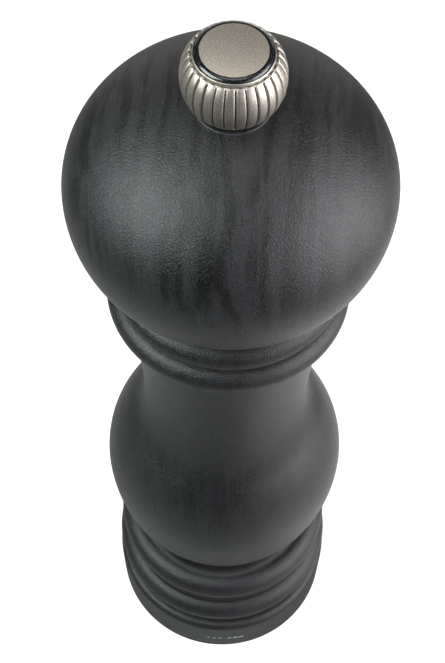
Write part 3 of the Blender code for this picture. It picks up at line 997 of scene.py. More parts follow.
def spin(shape: bmesh.types.BMesh, outline: Sequence[Point], steps: int) -> None:
    """Turn a profile about Z into a closed skin.

    Args:
        shape: The mesh to add to.
        outline: The profile. One that starts on the axis ends on it too.
        steps: How many faces go round.
    """
    rings = []
    for radius, height in outline:
        if radius < POLE:
            rings.append([shape.verts.new((0.0, 0.0, height * MM))])
            continue
        angles = [math.tau * i / steps for i in range(steps)]
        spots = [(radius * MM * math.cos(a), radius * MM * math.sin(a), height * MM) for a in angles]
        rings.append([shape.verts.new(spot) for spot in spots])
    pairs = list(zip(rings, rings[1:]))
    if outline[0][0] > POLE:
        pairs.append((rings[-1], rings[0]))
    for upper, lower in pairs:
        for i in range(steps):
            corners = [upper[i % len(upper)], upper[(i + 1) % len(upper)]]
            corners += [lower[(i + 1) % len(lower)], lower[i % len(lower)]]
            shape.faces.new(list(dict.fromkeys(corners)))


def turned(name: str, outline: Sequence[Point], steps: int) -> bpy.types.Object:
    """Make a turned piece from a profile.

    Args:
        name: The piece's name.
        outline: Its profile in millimetres.
        steps: How many faces go round.

    Returns:
        The new object.
    """
    shape = bmesh.new()
    spin(shape, outline, steps)
    return add_piece(name, shape)


def seed_piece(name: str) -> bpy.types.Object:
    """Make a tiny piece for a pattern that grows its own geometry."""
    return turned(name, [(0, 0.2), (0.1, 0.1), (0, 0)], 3)


def square_bore(piece: bpy.types.Object, within: float, half: float) -> None:
    """Press a round bore into a square one.

    Args:
        piece: The piece to change.
        within: The radius inside which points belong to the bore.
        half: Half of the square's width.
    """
    for vertex in piece.data.vertices:
        flat = vertex.co.xy
        if flat.length < within * MM:
            vertex.co.xy = flat * (half * MM / max(abs(flat.x), abs(flat.y)))


# Patterns made by geometry nodes


class Pattern(NodeGroup):
    """A geometry tree that is run on a piece with its own sizes and then fixed into its mesh."""

    tree_type = "GeometryNodeTree"
    gives = (Plug("Geometry", "NodeSocketGeometry"),)

    @classmethod
    def run(cls, piece: bpy.types.Object, finish: Finishes, **sizes: Value) -> None:
        """Run the tree on a piece and keep the result as a plain mesh.

        Args:
            piece: The object to change.
            finish: The finish that the tree sets.
            **sizes: The tree's inputs, with underscores for the spaces in their names.
        """
        tree = cls.tree()
        modifier = piece.modifiers.new(cls.name, "NODES")
        modifier.node_group = tree
        items = tree.interface.items_tree
        keys = {item.name: item.identifier for item in items if item.in_out == "INPUT"}
        modifier[keys["Material"]] = finish.value.material()
        for key, value in sizes.items():
            modifier[keys[key.replace("_", " ")]] = value
        graph = bpy.context.evaluated_depsgraph_get()
        mesh = bpy.data.meshes.new_from_object(piece.evaluated_get(graph), depsgraph=graph)
        piece.modifiers.clear()
        piece.data = mesh
        mesh.name = piece.name

    @staticmethod
    def close(wiring: Wiring, geometry: Value, material: Value) -> dict[str, Value]:
        """End a tree by realising its instances and setting its material.

        Args:
            wiring: The tree's wiring.
            geometry: The finished geometry's socket.
            material: The material's socket.

        Returns:
            The tree's one output.
        """
        real = wiring.add("GeometryNodeRealizeInstances")
        wiring.feed(real.inputs[0], geometry)
        painted = wiring.add("GeometryNodeSetMaterial")
        wiring.feed(painted.inputs["Geometry"], real.outputs[0])
        wiring.feed(painted.inputs["Material"], material)
        return {"Geometry": painted.outputs[0]}

    @staticmethod
    def shifted(wiring: Wiring, geometry: Value, offset: Value) -> bpy.types.NodeSocket:
        """Move each point of a geometry.

        Args:
            wiring: The tree's wiring.
            geometry: The geometry's socket.
            offset: How far each point moves, in metres.

        Returns:
            The moved geometry's socket.
        """
        node = wiring.add("GeometryNodeSetPosition")
        wiring.feed(node.inputs["Geometry"], geometry)
        wiring.feed(node.inputs["Offset"], offset)
        return node.outputs[0]

    @staticmethod
    def copied(wiring: Wiring, points: Value, instance: Value, rotation: Value) -> bpy.types.Node:
        """Instance a geometry on points.

        Args:
            wiring: The tree's wiring.
            points: The points' socket.
            instance: The geometry to copy.
            rotation: How each copy is turned.

        Returns:
            The node that makes the copies.
        """
        node = wiring.add("GeometryNodeInstanceOnPoints")
        wiring.feed(node.inputs["Points"], points)
        wiring.feed(node.inputs["Instance"], instance)
        wiring.feed(node.inputs["Rotation"], rotation)
        return node

    @staticmethod
    def about_axis(wiring: Wiring, angle: Value, radius: Value, height: Value) -> bpy.types.NodeSocket:
        """Find a place about the mill's axis.

        Args:
            wiring: The tree's wiring.
            angle: Its angle in radians.
            radius: Its distance from the axis in millimetres.
            height: Its height in millimetres.

        Returns:
            The place as a vector in metres.
        """
        x = wiring.product(wiring.math("COSINE", angle), radius)
        y = wiring.product(wiring.math("SINE", angle), radius)
        return wiring.scaled(wiring.point(x, y, height), MM)

    @staticmethod
    def polar(wiring: Wiring) -> tuple[Value, Value, Value]:
        """Read where each point lies about the mill's axis.

        Args:
            wiring: The tree's wiring.

        Returns:
            Its angle in radians, and its radius and height in millimetres.
        """
        place = wiring.scaled(wiring.add("GeometryNodeInputPosition").outputs[0], 1.0 / MM)
        parts = wiring.apart(place)
        angle = wiring.math("ARCTAN2", parts["Y"], parts["X"])
        across = wiring.math("POWER", parts["X"], 2.0)
        along = wiring.math("POWER", parts["Y"], 2.0)
        return angle, wiring.math("SQRT", wiring.math("ADD", across, along)), parts["Z"]


class Fluting(Pattern):
    """Upright ribs with rounded upper ends and narrow V grooves between them."""

    name = "fluting"
    takes = (
        Plug("Geometry", "NodeSocketGeometry"),
        Plug("Rib Count", value=29.0),
        Plug("Groove Depth", value=0.3),
        Plug("Groove Share", value=0.2),
        Plug("Rib Crown", value=0.1),
        Plug("Lower End", value=0.0),
        Plug("Upper End", value=10.0),
        Plug("End Length", value=0.9),
        Plug("Rim Line", value=10.2),
        Plug("Inner Radius", value=0.0),
        Plug("Material", "NodeSocketMaterial"),
    )

    @classmethod
    def wire(cls, wiring: Wiring, given: Any) -> dict[str, Value]:
        """Press the skin inwards between the ribs and above their ends.

        Args:
            wiring: The group's wiring.
            given: The group's inputs, by name.

        Returns:
            Each output's socket, by name.
        """
        angle, radius, height = cls.polar(wiring)
        ribs = wiring.math("DIVIDE", given["Rib Count"], math.tau)
        turn = wiring.math("FRACT", wiring.product(angle, ribs))
        across = wiring.product(wiring.math("ABSOLUTE", wiring.math("SUBTRACT", turn, 0.5)), 2.0)
        below = wiring.math("SUBTRACT", given["Upper End"], height)
        short = wiring.ramp(below, 0.0, given["End Length"], smooth=False)
        missing = wiring.math("POWER", wiring.math("SUBTRACT", 1.0, short), 2.0)
        width = wiring.math("SQRT", wiring.math("SUBTRACT", 1.0, missing, clamp=True))
        rib = wiring.product(width, wiring.math("SUBTRACT", 1.0, given["Groove Share"]))
        edge = wiring.math("ADD", rib, given["Groove Share"])
        groove = wiring.ramp(across, rib, edge, smooth=False)
        crown = wiring.product(wiring.math("POWER", across, 2.0), given["Rib Crown"])
        depth = wiring.math("MULTIPLY_ADD", groove, given["Groove Depth"], crown)
        whole = wiring.math("ADD", given["Lower End"], 0.7)
        above_foot = wiring.ramp(height, given["Lower End"], whole)
        under_rim = wiring.math("LESS_THAN", height, given["Rim Line"])
        outside = wiring.math("GREATER_THAN", radius, given["Inner Radius"])
        inward = wiring.product(depth, above_foot, under_rim, outside, -MM)
        normal = wiring.add("GeometryNodeInputNormal").outputs[0]
        moved = cls.shifted(wiring, given["Geometry"], wiring.scaled(normal, inward))
        return cls.close(wiring, moved, given["Material"])


class HelicalCut(Pattern):
    """Grooves wound round the axis: a screw thread, a knurl or the teeth of a burr."""

    name = "helical_cut"
    takes = (
        Plug("Geometry", "NodeSocketGeometry"),
        Plug("Starts", value=1.0),
        Plug("Turns Each Millimetre", value=1.0),
        Plug("Depth", value=0.3),
        Plug("Saw", value=0.0),
        Plug("Lower End", value=0.0),
        Plug("Upper End", value=10.0),
        Plug("Fade", value=0.5),
        Plug("Inner Radius", value=0.0),
        Plug("Outer Radius", value=100.0),
        Plug("Material", "NodeSocketMaterial"),
    )

    @classmethod
    def wire(cls, wiring: Wiring, given: Any) -> dict[str, Value]:
        """Move the skin towards or away from the axis along the windings.

        Args:
            wiring: The group's wiring.
            given: The group's inputs, by name.

        Returns:
            Each output's socket, by name.
        """
        angle, radius, height = cls.polar(wiring)
        starts = wiring.product(angle, wiring.math("DIVIDE", given["Starts"], math.tau))
        winding = wiring.math("MULTIPLY_ADD", height, given["Turns Each Millimetre"], starts)
        phase = wiring.math("FRACT", winding)
        even = wiring.product(wiring.math("ABSOLUTE", wiring.math("SUBTRACT", phase, 0.5)), 2.0)
        even = wiring.product(even, wiring.math("SUBTRACT", 1.0, given["Saw"]))
        cut = wiring.math("MULTIPLY_ADD", phase, given["Saw"], even)
        whole = wiring.math("ADD", given["Lower End"], given["Fade"])
        low = wiring.ramp(height, given["Lower End"], whole)
        high = wiring.ramp(wiring.math("SUBTRACT", given["Upper End"], height), 0.0, given["Fade"])
        outside = wiring.math("GREATER_THAN", radius, given["Inner Radius"])
        inside = wiring.math("LESS_THAN", radius, given["Outer Radius"])
        inward = wiring.product(cut, low, high, outside, inside, given["Depth"], -MM)
        place = wiring.add("GeometryNodeInputPosition").outputs[0]
        outwards = wiring.vector("NORMALIZE", wiring.vector("MULTIPLY", place, (1.0, 1.0, 0.0)))
        moved = cls.shifted(wiring, given["Geometry"], wiring.scaled(outwards, inward))
        return cls.close(wiring, moved, given["Material"])


class ScrewCircle(Pattern):
    """Copies of one upright screw on a circle, each with a cross slot cut in its head."""

    name = "screw_circle"
    takes = (
        Plug("Geometry", "NodeSocketGeometry"),
        Plug("Screw Count", "NodeSocketInt", 3),
        Plug("Circle Radius", value=10.0),
        Plug("First Angle", value=0.0),
        Plug("Head Height", value=0.0),
        Plug("Slot Length", value=2.4),
        Plug("Slot Width", value=0.5),
        Plug("Slot Depth", value=0.6),
        Plug("Material", "NodeSocketMaterial"),
    )

    @classmethod
    def wire(cls, wiring: Wiring, given: Any) -> dict[str, Value]:
        """Cut the cross, then instance the screw on points about the axis.

        Args:
            wiring: The group's wiring.
            given: The group's inputs, by name.

        Returns:
            Each output's socket, by name.
        """
        cut = given["Geometry"]
        slot = (given["Slot Length"], given["Slot Width"])
        deep = wiring.product(given["Slot Depth"], 2.0)
        lift = wiring.point(up=wiring.product(given["Head Height"], MM))
        for across, along in (slot, slot[::-1]):
            bar = wiring.add("GeometryNodeMeshCube")
            wiring.feed(bar.inputs["Size"], wiring.scaled(wiring.point(across, along, deep), MM))
            placed = wiring.add("GeometryNodeTransform")
            wiring.feed(placed.inputs["Geometry"], bar.outputs["Mesh"])
            wiring.feed(placed.inputs["Translation"], lift)
            boolean = wiring.add("GeometryNodeMeshBoolean", operation="DIFFERENCE")
            wiring.feed(boolean.inputs[0], cut)
            wiring.feed(boolean.inputs[1], placed.outputs[0])
            cut = boolean.outputs[0]
        points = wiring.add("GeometryNodePoints")
        wiring.feed(points.inputs["Count"], given["Screw Count"])
        index = wiring.add("GeometryNodeInputIndex").outputs[0]
        step = wiring.math("DIVIDE", math.tau, given["Screw Count"])
        first = wiring.math("RADIANS", given["First Angle"])
        angle = wiring.math("MULTIPLY_ADD", index, step, first)
        spot = cls.about_axis(wiring, angle, given["Circle Radius"], 0.0)
        moved = cls.shifted(wiring, points.outputs[0], spot)
        slot_turn = wiring.point(up=wiring.product(index, 0.9))
        copies = cls.copied(wiring, moved, cut, slot_turn)
        return cls.close(wiring, copies.outputs[0], given["Material"])


class Coil(Pattern):
    """A compression spring with closed ends."""

    name = "coil"
    takes = (
        Plug("Geometry", "NodeSocketGeometry"),
        Plug("Coil Radius", value=15.5),
        Plug("Wire Radius", value=0.6),
        Plug("Turns", value=4.0),
        Plug("Lower End", value=0.0),
        Plug("Upper End", value=10.0),
        Plug("Material", "NodeSocketMaterial"),
    )

    @classmethod
    def wire(cls, wiring: Wiring, given: Any) -> dict[str, Value]:
        """Sweep a round wire along a helix that flattens at both ends.

        Args:
            wiring: The group's wiring.
            given: The group's inputs, by name.

        Returns:
            Each output's socket, by name.
        """
        spiral = wiring.add("GeometryNodeCurveSpiral")
        spiral.inputs["Resolution"].default_value = 36
        radius = wiring.product(given["Coil Radius"], MM)
        wiring.feed(spiral.inputs["Rotations"], given["Turns"])
        wiring.feed(spiral.inputs["Start Radius"], radius)
        wiring.feed(spiral.inputs["End Radius"], radius)
        spiral.inputs["Height"].default_value = 0.0
        along = wiring.add("GeometryNodeSplineParameter").outputs["Factor"]
        rise = wiring.ramp(along, 0.06, 0.94)
        low = wiring.product(given["Lower End"], MM)
        high = wiring.product(given["Upper End"], MM)
        closed = wiring.math("MULTIPLY_ADD", along, 0.25, wiring.product(rise, 0.75))
        height = wiring.math("MULTIPLY_ADD", wiring.math("SUBTRACT", high, low), closed, low)
        moved = cls.shifted(wiring, spiral.outputs[0], wiring.point(up=height))
        wire_round = wiring.add("GeometryNodeCurvePrimitiveCircle")
        wire_round.inputs["Resolution"].default_value = 12
        wiring.feed(wire_round.inputs["Radius"], wiring.product(given["Wire Radius"], MM))
        swept = wiring.add("GeometryNodeCurveToMesh")
        wiring.feed(swept.inputs["Curve"], moved)
        wiring.feed(swept.inputs["Profile Curve"], wire_round.outputs[0])
        swept.inputs["Fill Caps"].default_value = True
        smooth = wiring.add("GeometryNodeSetShadeSmooth")
        wiring.feed(smooth.inputs["Geometry"], swept.outputs[0])
        return cls.close(wiring, smooth.outputs[0], given["Material"])


class SettingDots(Pattern):
    """A row of dots round the grind ring that grow from the fine setting to the coarse one."""

    name = "setting_dots"
    takes = (
        Plug("Geometry", "NodeSocketGeometry"),
        Plug("Dot Count", "NodeSocketInt", 6),
        Plug("Pitch", value=1.7),
        Plug("Middle Gap", value=1.0),
        Plug("Smallest", value=0.4),
        Plug("Largest", value=0.8),
        Plug("Band Radius", value=29.5),
        Plug("Height", value=8.0),
        Plug("Middle Angle", value=-87.0),
        Plug("Material", "NodeSocketMaterial"),
    )

    @classmethod
    def wire(cls, wiring: Wiring, given: Any) -> dict[str, Value]:
        """Set flat discs upright on the ring, each turned to face outwards.

        Args:
            wiring: The group's wiring.
            given: The group's inputs, by name.

        Returns:
            Each output's socket, by name.
        """
        points = wiring.add("GeometryNodePoints")
        wiring.feed(points.inputs["Count"], given["Dot Count"])
        index = wiring.add("GeometryNodeInputIndex").outputs[0]
        half = wiring.product(wiring.math("SUBTRACT", given["Dot Count"], 1.0), 0.5)
        place = wiring.math("SUBTRACT", index, half)
        shift = wiring.product(wiring.math("SIGN", place), given["Middle Gap"], 0.5)
        along = wiring.math("MULTIPLY_ADD", place, given["Pitch"], shift)
        angle = wiring.math("DIVIDE", along, given["Band Radius"])
        angle = wiring.math("ADD", angle, wiring.math("RADIANS", given["Middle Angle"]))
        spot = cls.about_axis(wiring, angle, given["Band Radius"], given["Height"])
        moved = cls.shifted(wiring, points.outputs[0], spot)
        dot = wiring.add("GeometryNodeMeshCylinder")
        dot.inputs["Vertices"].default_value = 28
        dot.inputs["Radius"].default_value = MM
        dot.inputs["Depth"].default_value = 0.12 * MM
        stand = wiring.point(0.0, math.pi / 2, angle)
        copies = cls.copied(wiring, moved, dot.outputs["Mesh"], stand)
        share = wiring.math("DIVIDE", index, wiring.product(half, 2.0))
        spread = wiring.math("SUBTRACT", given["Largest"], given["Smallest"])
        size = wiring.math("MULTIPLY_ADD", share, spread, given["Smallest"])
        wiring.feed(copies.inputs["Scale"], wiring.point(size, size, 1.0))
        return cls.close(wiring, copies.outputs[0], given["Material"])


# Parts of the mill


@dataclass
class SubAssembly:
    """One part of the mill: it builds its pieces and settles them in the frame."""

    pieces: list[bpy.types.Object] = field(default_factory=list, init=False)

    def settle(self, piece: bpy.types.Object, body: str, finish: Finishes, *nodes: str) -> None:
        """Give a finished piece its finish and its body.

        Args:
            piece: The piece, with its place in its mesh.
            body: The CAD body that carries it.
            finish: Its finish.
            *nodes: The CAD nodes that it stands for.
        """
        piece.data.materials.clear()
        piece.data.materials.append(finish.value.material())
        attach(piece, body)
        if nodes:
            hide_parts(*nodes)
        self.pieces.append(piece)

    def dress_node(self, name: str, finish: Finishes) -> None:
        """Give a CAD node a better material.

        Args:
            name: The node's name.
            finish: The finish for each of its material slots.
        """
        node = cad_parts[name]
        for slot in node.material_slots:
            slot.material = finish.value.material()
        self.pieces.append(node)

    def report(self) -> None:
        """Log each piece with its size."""
        for piece in self.pieces:
            log.info("%s: %s, %d faces", type(self).__name__, piece.name, len(piece.data.polygons))


@dataclass
class Screws:
    """A set of cross-slotted pan-head screws, driven upwards on one circle."""

    name: str
    shank: float
    head: float
    low: float
    high: float
    circle: float
    first_angle: float
    count: int
    steps: int = 24
    thread_pitch: float = 0.75

    def make(self) -> bpy.types.Object:
        """Build the screws.

        Returns:
            One piece, named for the set, that holds them all.
        """
        dome = arc((0, self.low + 0.45), (self.head, 0.45), -2, -88, 8)
        outline = [(0, self.high), (self.shank * 0.45, self.high - 0.6), (self.shank, self.high - 2.0)]
        outline += [(self.shank, self.low + 1.2), (self.head, self.low + 1.2), *dome, (0, self.low)]
        piece = turned(f"{self.name}s", split(outline, 0.14), self.steps)
        HelicalCut.run(
            piece,
            Finishes.STEEL,
            Turns_Each_Millimetre=1 / self.thread_pitch,
            Depth=self.shank * 0.24,
            Lower_End=self.low + 1.6,
            Upper_End=self.high - 0.2,
            Inner_Radius=self.shank * 0.5,
            Outer_Radius=self.shank * 1.05,
        )
        ScrewCircle.run(
            piece,
            Finishes.STEEL,
            Screw_Count=self.count,
            Circle_Radius=self.circle,
            First_Angle=self.first_angle,
            Head_Height=self.low,
            Slot_Length=self.head * 1.25,
            Slot_Width=self.head * 0.26,
            Slot_Depth=0.7,
        )
        piece.data.set_sharp_from_angle(angle=math.radians(40))
        return piece


@dataclass
class Head(SubAssembly):
    """The ball head: turned wood with a tenon, a steel drive plate and a ferrule under the knob."""

    ball_radius: float = 29.7
    ball_height: float = 185.8
    ball_rise: float = 22.4
    ball_drop: float = 26.8
    ball_fullness: float = 2.07
    seat_radius: float = 6.4
    seat_height: float = 207.9
    ring_radius: float = 23.05
    ring_height: float = 160.4
    ring_bead: float = 3.1
    seam_radius: float = 19.9
    seam_height: float = 157.3
    tenon_radius: float = 17.1
    tenon_height: float = 149.8
    tenon_bevel: float = 0.8
    plate_radius: float = 11.3
    plate_depth: float = 2.0
    bore: float = 5.0
    sleeve_radius: float = 5.7
    sleeve_foot: float = 197.5
    edge_round: float = 0.12
    steps: int = 224

    def outline(self) -> list[Point]:
        """Draw the outer side.

        Returns:
            Its points, from the flat under the knob down to the seam.
        """
        centre = (0.0, self.ball_height)
        crown = arc(centre, (self.ball_radius, self.ball_rise), 78, 0, 64, self.ball_fullness)
        under = arc(centre, (self.ball_radius, self.ball_drop), 0, -50, 30)[1:]
        rim = bead(self.ring_radius, self.ring_height, self.ring_bead, 104, -60, 22)
        hollow = cove(under[-1], (18.5, 164.7), (18.5, 163.6), rim[0], 9)
        seat = (self.seat_radius, self.seat_height)
        return [seat, *crown, *under, *hollow, *rim, (self.seam_radius, self.seam_height)]

    def inside(self) -> list[Point]:
        """Draw the tenon, the recess for the drive plate and the bore.

        Returns:
            Their points, from the seam upwards.
        """
        foot = self.tenon_height
        recess = foot + self.plate_depth
        return [
            (self.tenon_radius, self.seam_height),
            (self.tenon_radius, foot + self.tenon_bevel),
            (self.tenon_radius - self.tenon_bevel, foot),
            (self.plate_radius, foot),
            (self.plate_radius, recess),
            (self.bore, recess),
            (self.bore, self.sleeve_foot),
            (self.sleeve_radius, self.sleeve_foot),
            (self.sleeve_radius, self.seat_height),
        ]

    def build(self) -> None:
        """Turn the wood and dress the metal inside it."""
        outline = softened(self.outline() + self.inside(), self.edge_round)
        wood = turned("ball_head", outline, self.steps)
        self.settle(wood, "head", Finishes.WOOD, "head_shell")
        screws = Screws(
            name="drive_plate_screw",
            shank=1.0,
            head=2.0,
            low=148.6,
            high=160.0,
            circle=8.0,
            first_angle=0.0,
            count=2,
        )
        self.settle(screws.make(), "head", Finishes.STEEL, "plate_screw_1", "plate_screw_2")
        self.dress_node("drive_plate", Finishes.STEEL)
        self.dress_node("head_ferrule", Finishes.STEEL)


@dataclass
class Body(SubAssembly):
    """The body: turned wood with a collar ring, a waist, a bulb and two base rings."""

    collar_radius: float = 24.2
    collar_height: float = 153.5
    collar_bead: float = 3.3
    top_height: float = 157.0
    seam_radius: float = 19.9
    waist_radius: float = 18.4
    waist_height: float = 112.0
    bulb_radius: float = 28.8
    bulb_height: float = 77.7
    bulb_rise: float = 32.5
    bulb_drop: float = 41.4
    neck_radius: float = 21.5
    neck_height: float = 48.0
    upper_radius: float = 27.7
    upper_height: float = 39.9
    lower_radius: float = 29.0
    lower_height: float = 25.0
    base_bead: float = 4.0
    groove_radius: float = 25.6
    spigot_radius: float = 25.9
    spigot_height: float = 20.6
    bottom_height: float = 17.4
    cage_radius: float = 22.3
    cage_height: float = 38.0
    throat_radius: float = 12.5
    throat_height: float = 46.0
    chamber_radius: float = 14.0
    chamber_low: float = 49.0
    chamber_high: float = 148.6
    socket_radius: float = 17.5
    edge_round: float = 0.3
    steps: int = 208

    def outline(self) -> list[Point]:
        """Draw the outer side.

        Returns:
            Its points, from the seam down to the lower face.
        """
        collar = bead(self.collar_radius, self.collar_height, self.collar_bead, 70, -66, 22)
        waist = (self.waist_radius, self.waist_height)
        bulb_top = arc((0, self.bulb_height), (self.bulb_radius, self.bulb_rise), 41, 0, 34)
        bulb_foot = arc((0, self.bulb_height), (self.bulb_radius, self.bulb_drop), 0, -37, 34)[1:]
        neck = (self.neck_radius, self.neck_height)
        upper = bead(self.upper_radius, self.upper_height, self.base_bead, 98, -60, 24)
        lower = bead(self.lower_radius, self.lower_height, self.base_bead, 80, -72, 24)
        flare = cove(collar[-1], (20.6, 146.0), (self.waist_radius, 134.0), waist, 40)
        swell = cove(waist, (self.waist_radius, 105.5), (19.6, 102.0), bulb_top[0], 14)
        under_bulb = cove(bulb_foot[-1], (21.9, 50.8), (self.neck_radius, 49.4), neck, 8)
        scoop = cove(neck, (self.neck_radius, 45.6), (21.8, 44.2), upper[0], 8)
        groove = (self.groove_radius, (upper[-1][1] + lower[0][1]) / 2)
        outline = [(self.seam_radius, self.top_height), *collar, *flare, waist, *swell]
        outline += [*bulb_top, *bulb_foot, *under_bulb, neck, *scoop, *upper, groove, *lower]
        spigot = self.spigot_radius
        return [*outline, (spigot, self.spigot_height), (spigot, self.bottom_height)]

    def inside(self) -> list[Point]:
        """Draw the counterbore, the throat, the peppercorn chamber and the recess for the tenon.

        Returns:
            Their points, from below upwards.
        """
        return [
            (self.cage_radius, self.bottom_height),
            (self.cage_radius, self.cage_height),
            (self.throat_radius, self.cage_height),
            (self.throat_radius, self.throat_height),
            (self.chamber_radius, self.chamber_low),
            (self.chamber_radius, self.chamber_high),
            (self.socket_radius, self.chamber_high),
            (self.socket_radius, self.top_height),
        ]

    def build(self) -> None:
        """Turn the wood."""
        outline = softened(self.outline() + self.inside(), self.edge_round)
        wood = turned("turned_body", outline, self.steps)
        self.settle(wood, "body", Finishes.WOOD, "body_shell")


@dataclass
class GrindRing(SubAssembly):
    """The wooden band that sets the grind, with its printed dots and the cam inside it."""

    radius: float = 29.5
    inner_radius: float = 25.3
    height: float = 17.0
    top_round: float = 2.0
    chamfer: float = 0.8
    steps: int = 208
    edge_round: float = 0.35
    dot_height: float = 7.6

    def outline(self) -> list[Point]:
        """Draw the band.

        Returns:
            Its closed profile.
        """
        middle = (self.radius - self.top_round, self.height - self.top_round)
        corner = arc(middle, (self.top_round, self.top_round), 90, 0, 16)
        foot = [(self.radius, self.chamfer), (self.radius - self.chamfer, 0.0)]
        return [*corner, *foot, (self.inner_radius, 0.0), (self.inner_radius, self.height)]

    def build(self) -> None:
        """Turn the band, print its dots and dress the cam."""
        band = turned("setting_band", softened(self.outline(), self.edge_round), self.steps)
        self.settle(band, "grind_ring", Finishes.WOOD, "grind_band")
        dots = seed_piece("setting_dots")
        SettingDots.run(dots, Finishes.DOTS, Band_Radius=self.radius, Height=self.dot_height)
        self.settle(dots, "grind_ring", Finishes.DOTS)
        self.dress_node("cam_ring", Finishes.GREY_PLASTIC)


@dataclass
class Mechanism(SubAssembly):
    """What is screwed to the body: cage, click spring, bottom bridge and carrier spring."""

    spring_radius: float = 15.5
    spring_wire: float = 0.6
    spring_low: float = 25.9
    spring_high: float = 34.1
    spring_turns: float = 4.0
    cam_rise: float = 1.2

    def build(self) -> None:
        """Wind the spring, drive the screws and dress the rest."""
        self.build_spring()
        cage_screws = Screws(
            name="cage_screw",
            shank=1.2,
            head=2.4,
            low=35.0,
            high=46.5,
            circle=16.0,
            first_angle=30.0,
            count=3,
        )
        bridge_screws = Screws(
            name="bridge_screw",
            shank=0.8,
            head=2.0,
            low=0.7,
            high=13.0,
            circle=20.25,
            first_angle=30.0,
            count=3,
            thread_pitch=0.6,
        )
        for screws in (cage_screws, bridge_screws):
            nodes = [f"{screws.name}_{i + 1}" for i in range(screws.count)]
            self.settle(screws.make(), "body", Finishes.STEEL, *nodes)
        self.dress_node("mechanism_cage", Finishes.BLACK_PLASTIC)
        self.dress_node("click_spring", Finishes.STEEL)
        self.dress_node("bottom_bridge", Finishes.STEEL)

    def build_spring(self) -> None:
        """Wind the carrier spring, which is pressed together as the carrier rises."""
        spring = seed_piece("wound_spring")
        Coil.run(
            spring,
            Finishes.STEEL,
            Coil_Radius=self.spring_radius,
            Wire_Radius=self.spring_wire,
            Turns=self.spring_turns,
            Lower_End=self.spring_low,
            Upper_End=self.spring_high,
        )
        self.settle(spring, "body", Finishes.STEEL, "carrier_spring")
        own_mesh(spring)


@dataclass
class Carrier(SubAssembly):
    """The sliding carrier and the toothed outer burr in it."""

    seat_radius: float = 15.7
    seat_low: float = 8.7
    seat_high: float = 21.5
    mouth_radius: float = 13.4
    throat_radius: float = 10.2
    teeth: float = 30.0
    tooth_depth: float = 0.75
    steps: int = 360

    def build(self) -> None:
        """Cut the burr's teeth and dress the carrier."""
        cone = [(self.mouth_radius, self.seat_low), (13.2, 9.5), (self.throat_radius, 20.0)]
        cone.append((11.4, self.seat_high))
        outline = [(self.seat_radius, self.seat_high), (self.seat_radius, self.seat_low), *split(cone, 0.6)]
        burr = turned("outer_burr_teeth", softened(outline, 0.2), self.steps)
        HelicalCut.run(
            burr,
            Finishes.HARD_STEEL,
            Starts=self.teeth,
            Turns_Each_Millimetre=-0.16,
            Depth=-self.tooth_depth,
            Saw=0.75,
            Lower_End=self.seat_low - 0.6,
            Upper_End=self.seat_high + 0.3,
            Fade=0.8,
            Outer_Radius=self.mouth_radius + 0.4,
        )
        self.settle(burr, "carrier", Finishes.HARD_STEEL, "outer_burr")
        self.dress_node("burr_carrier", Finishes.GREY_PLASTIC)


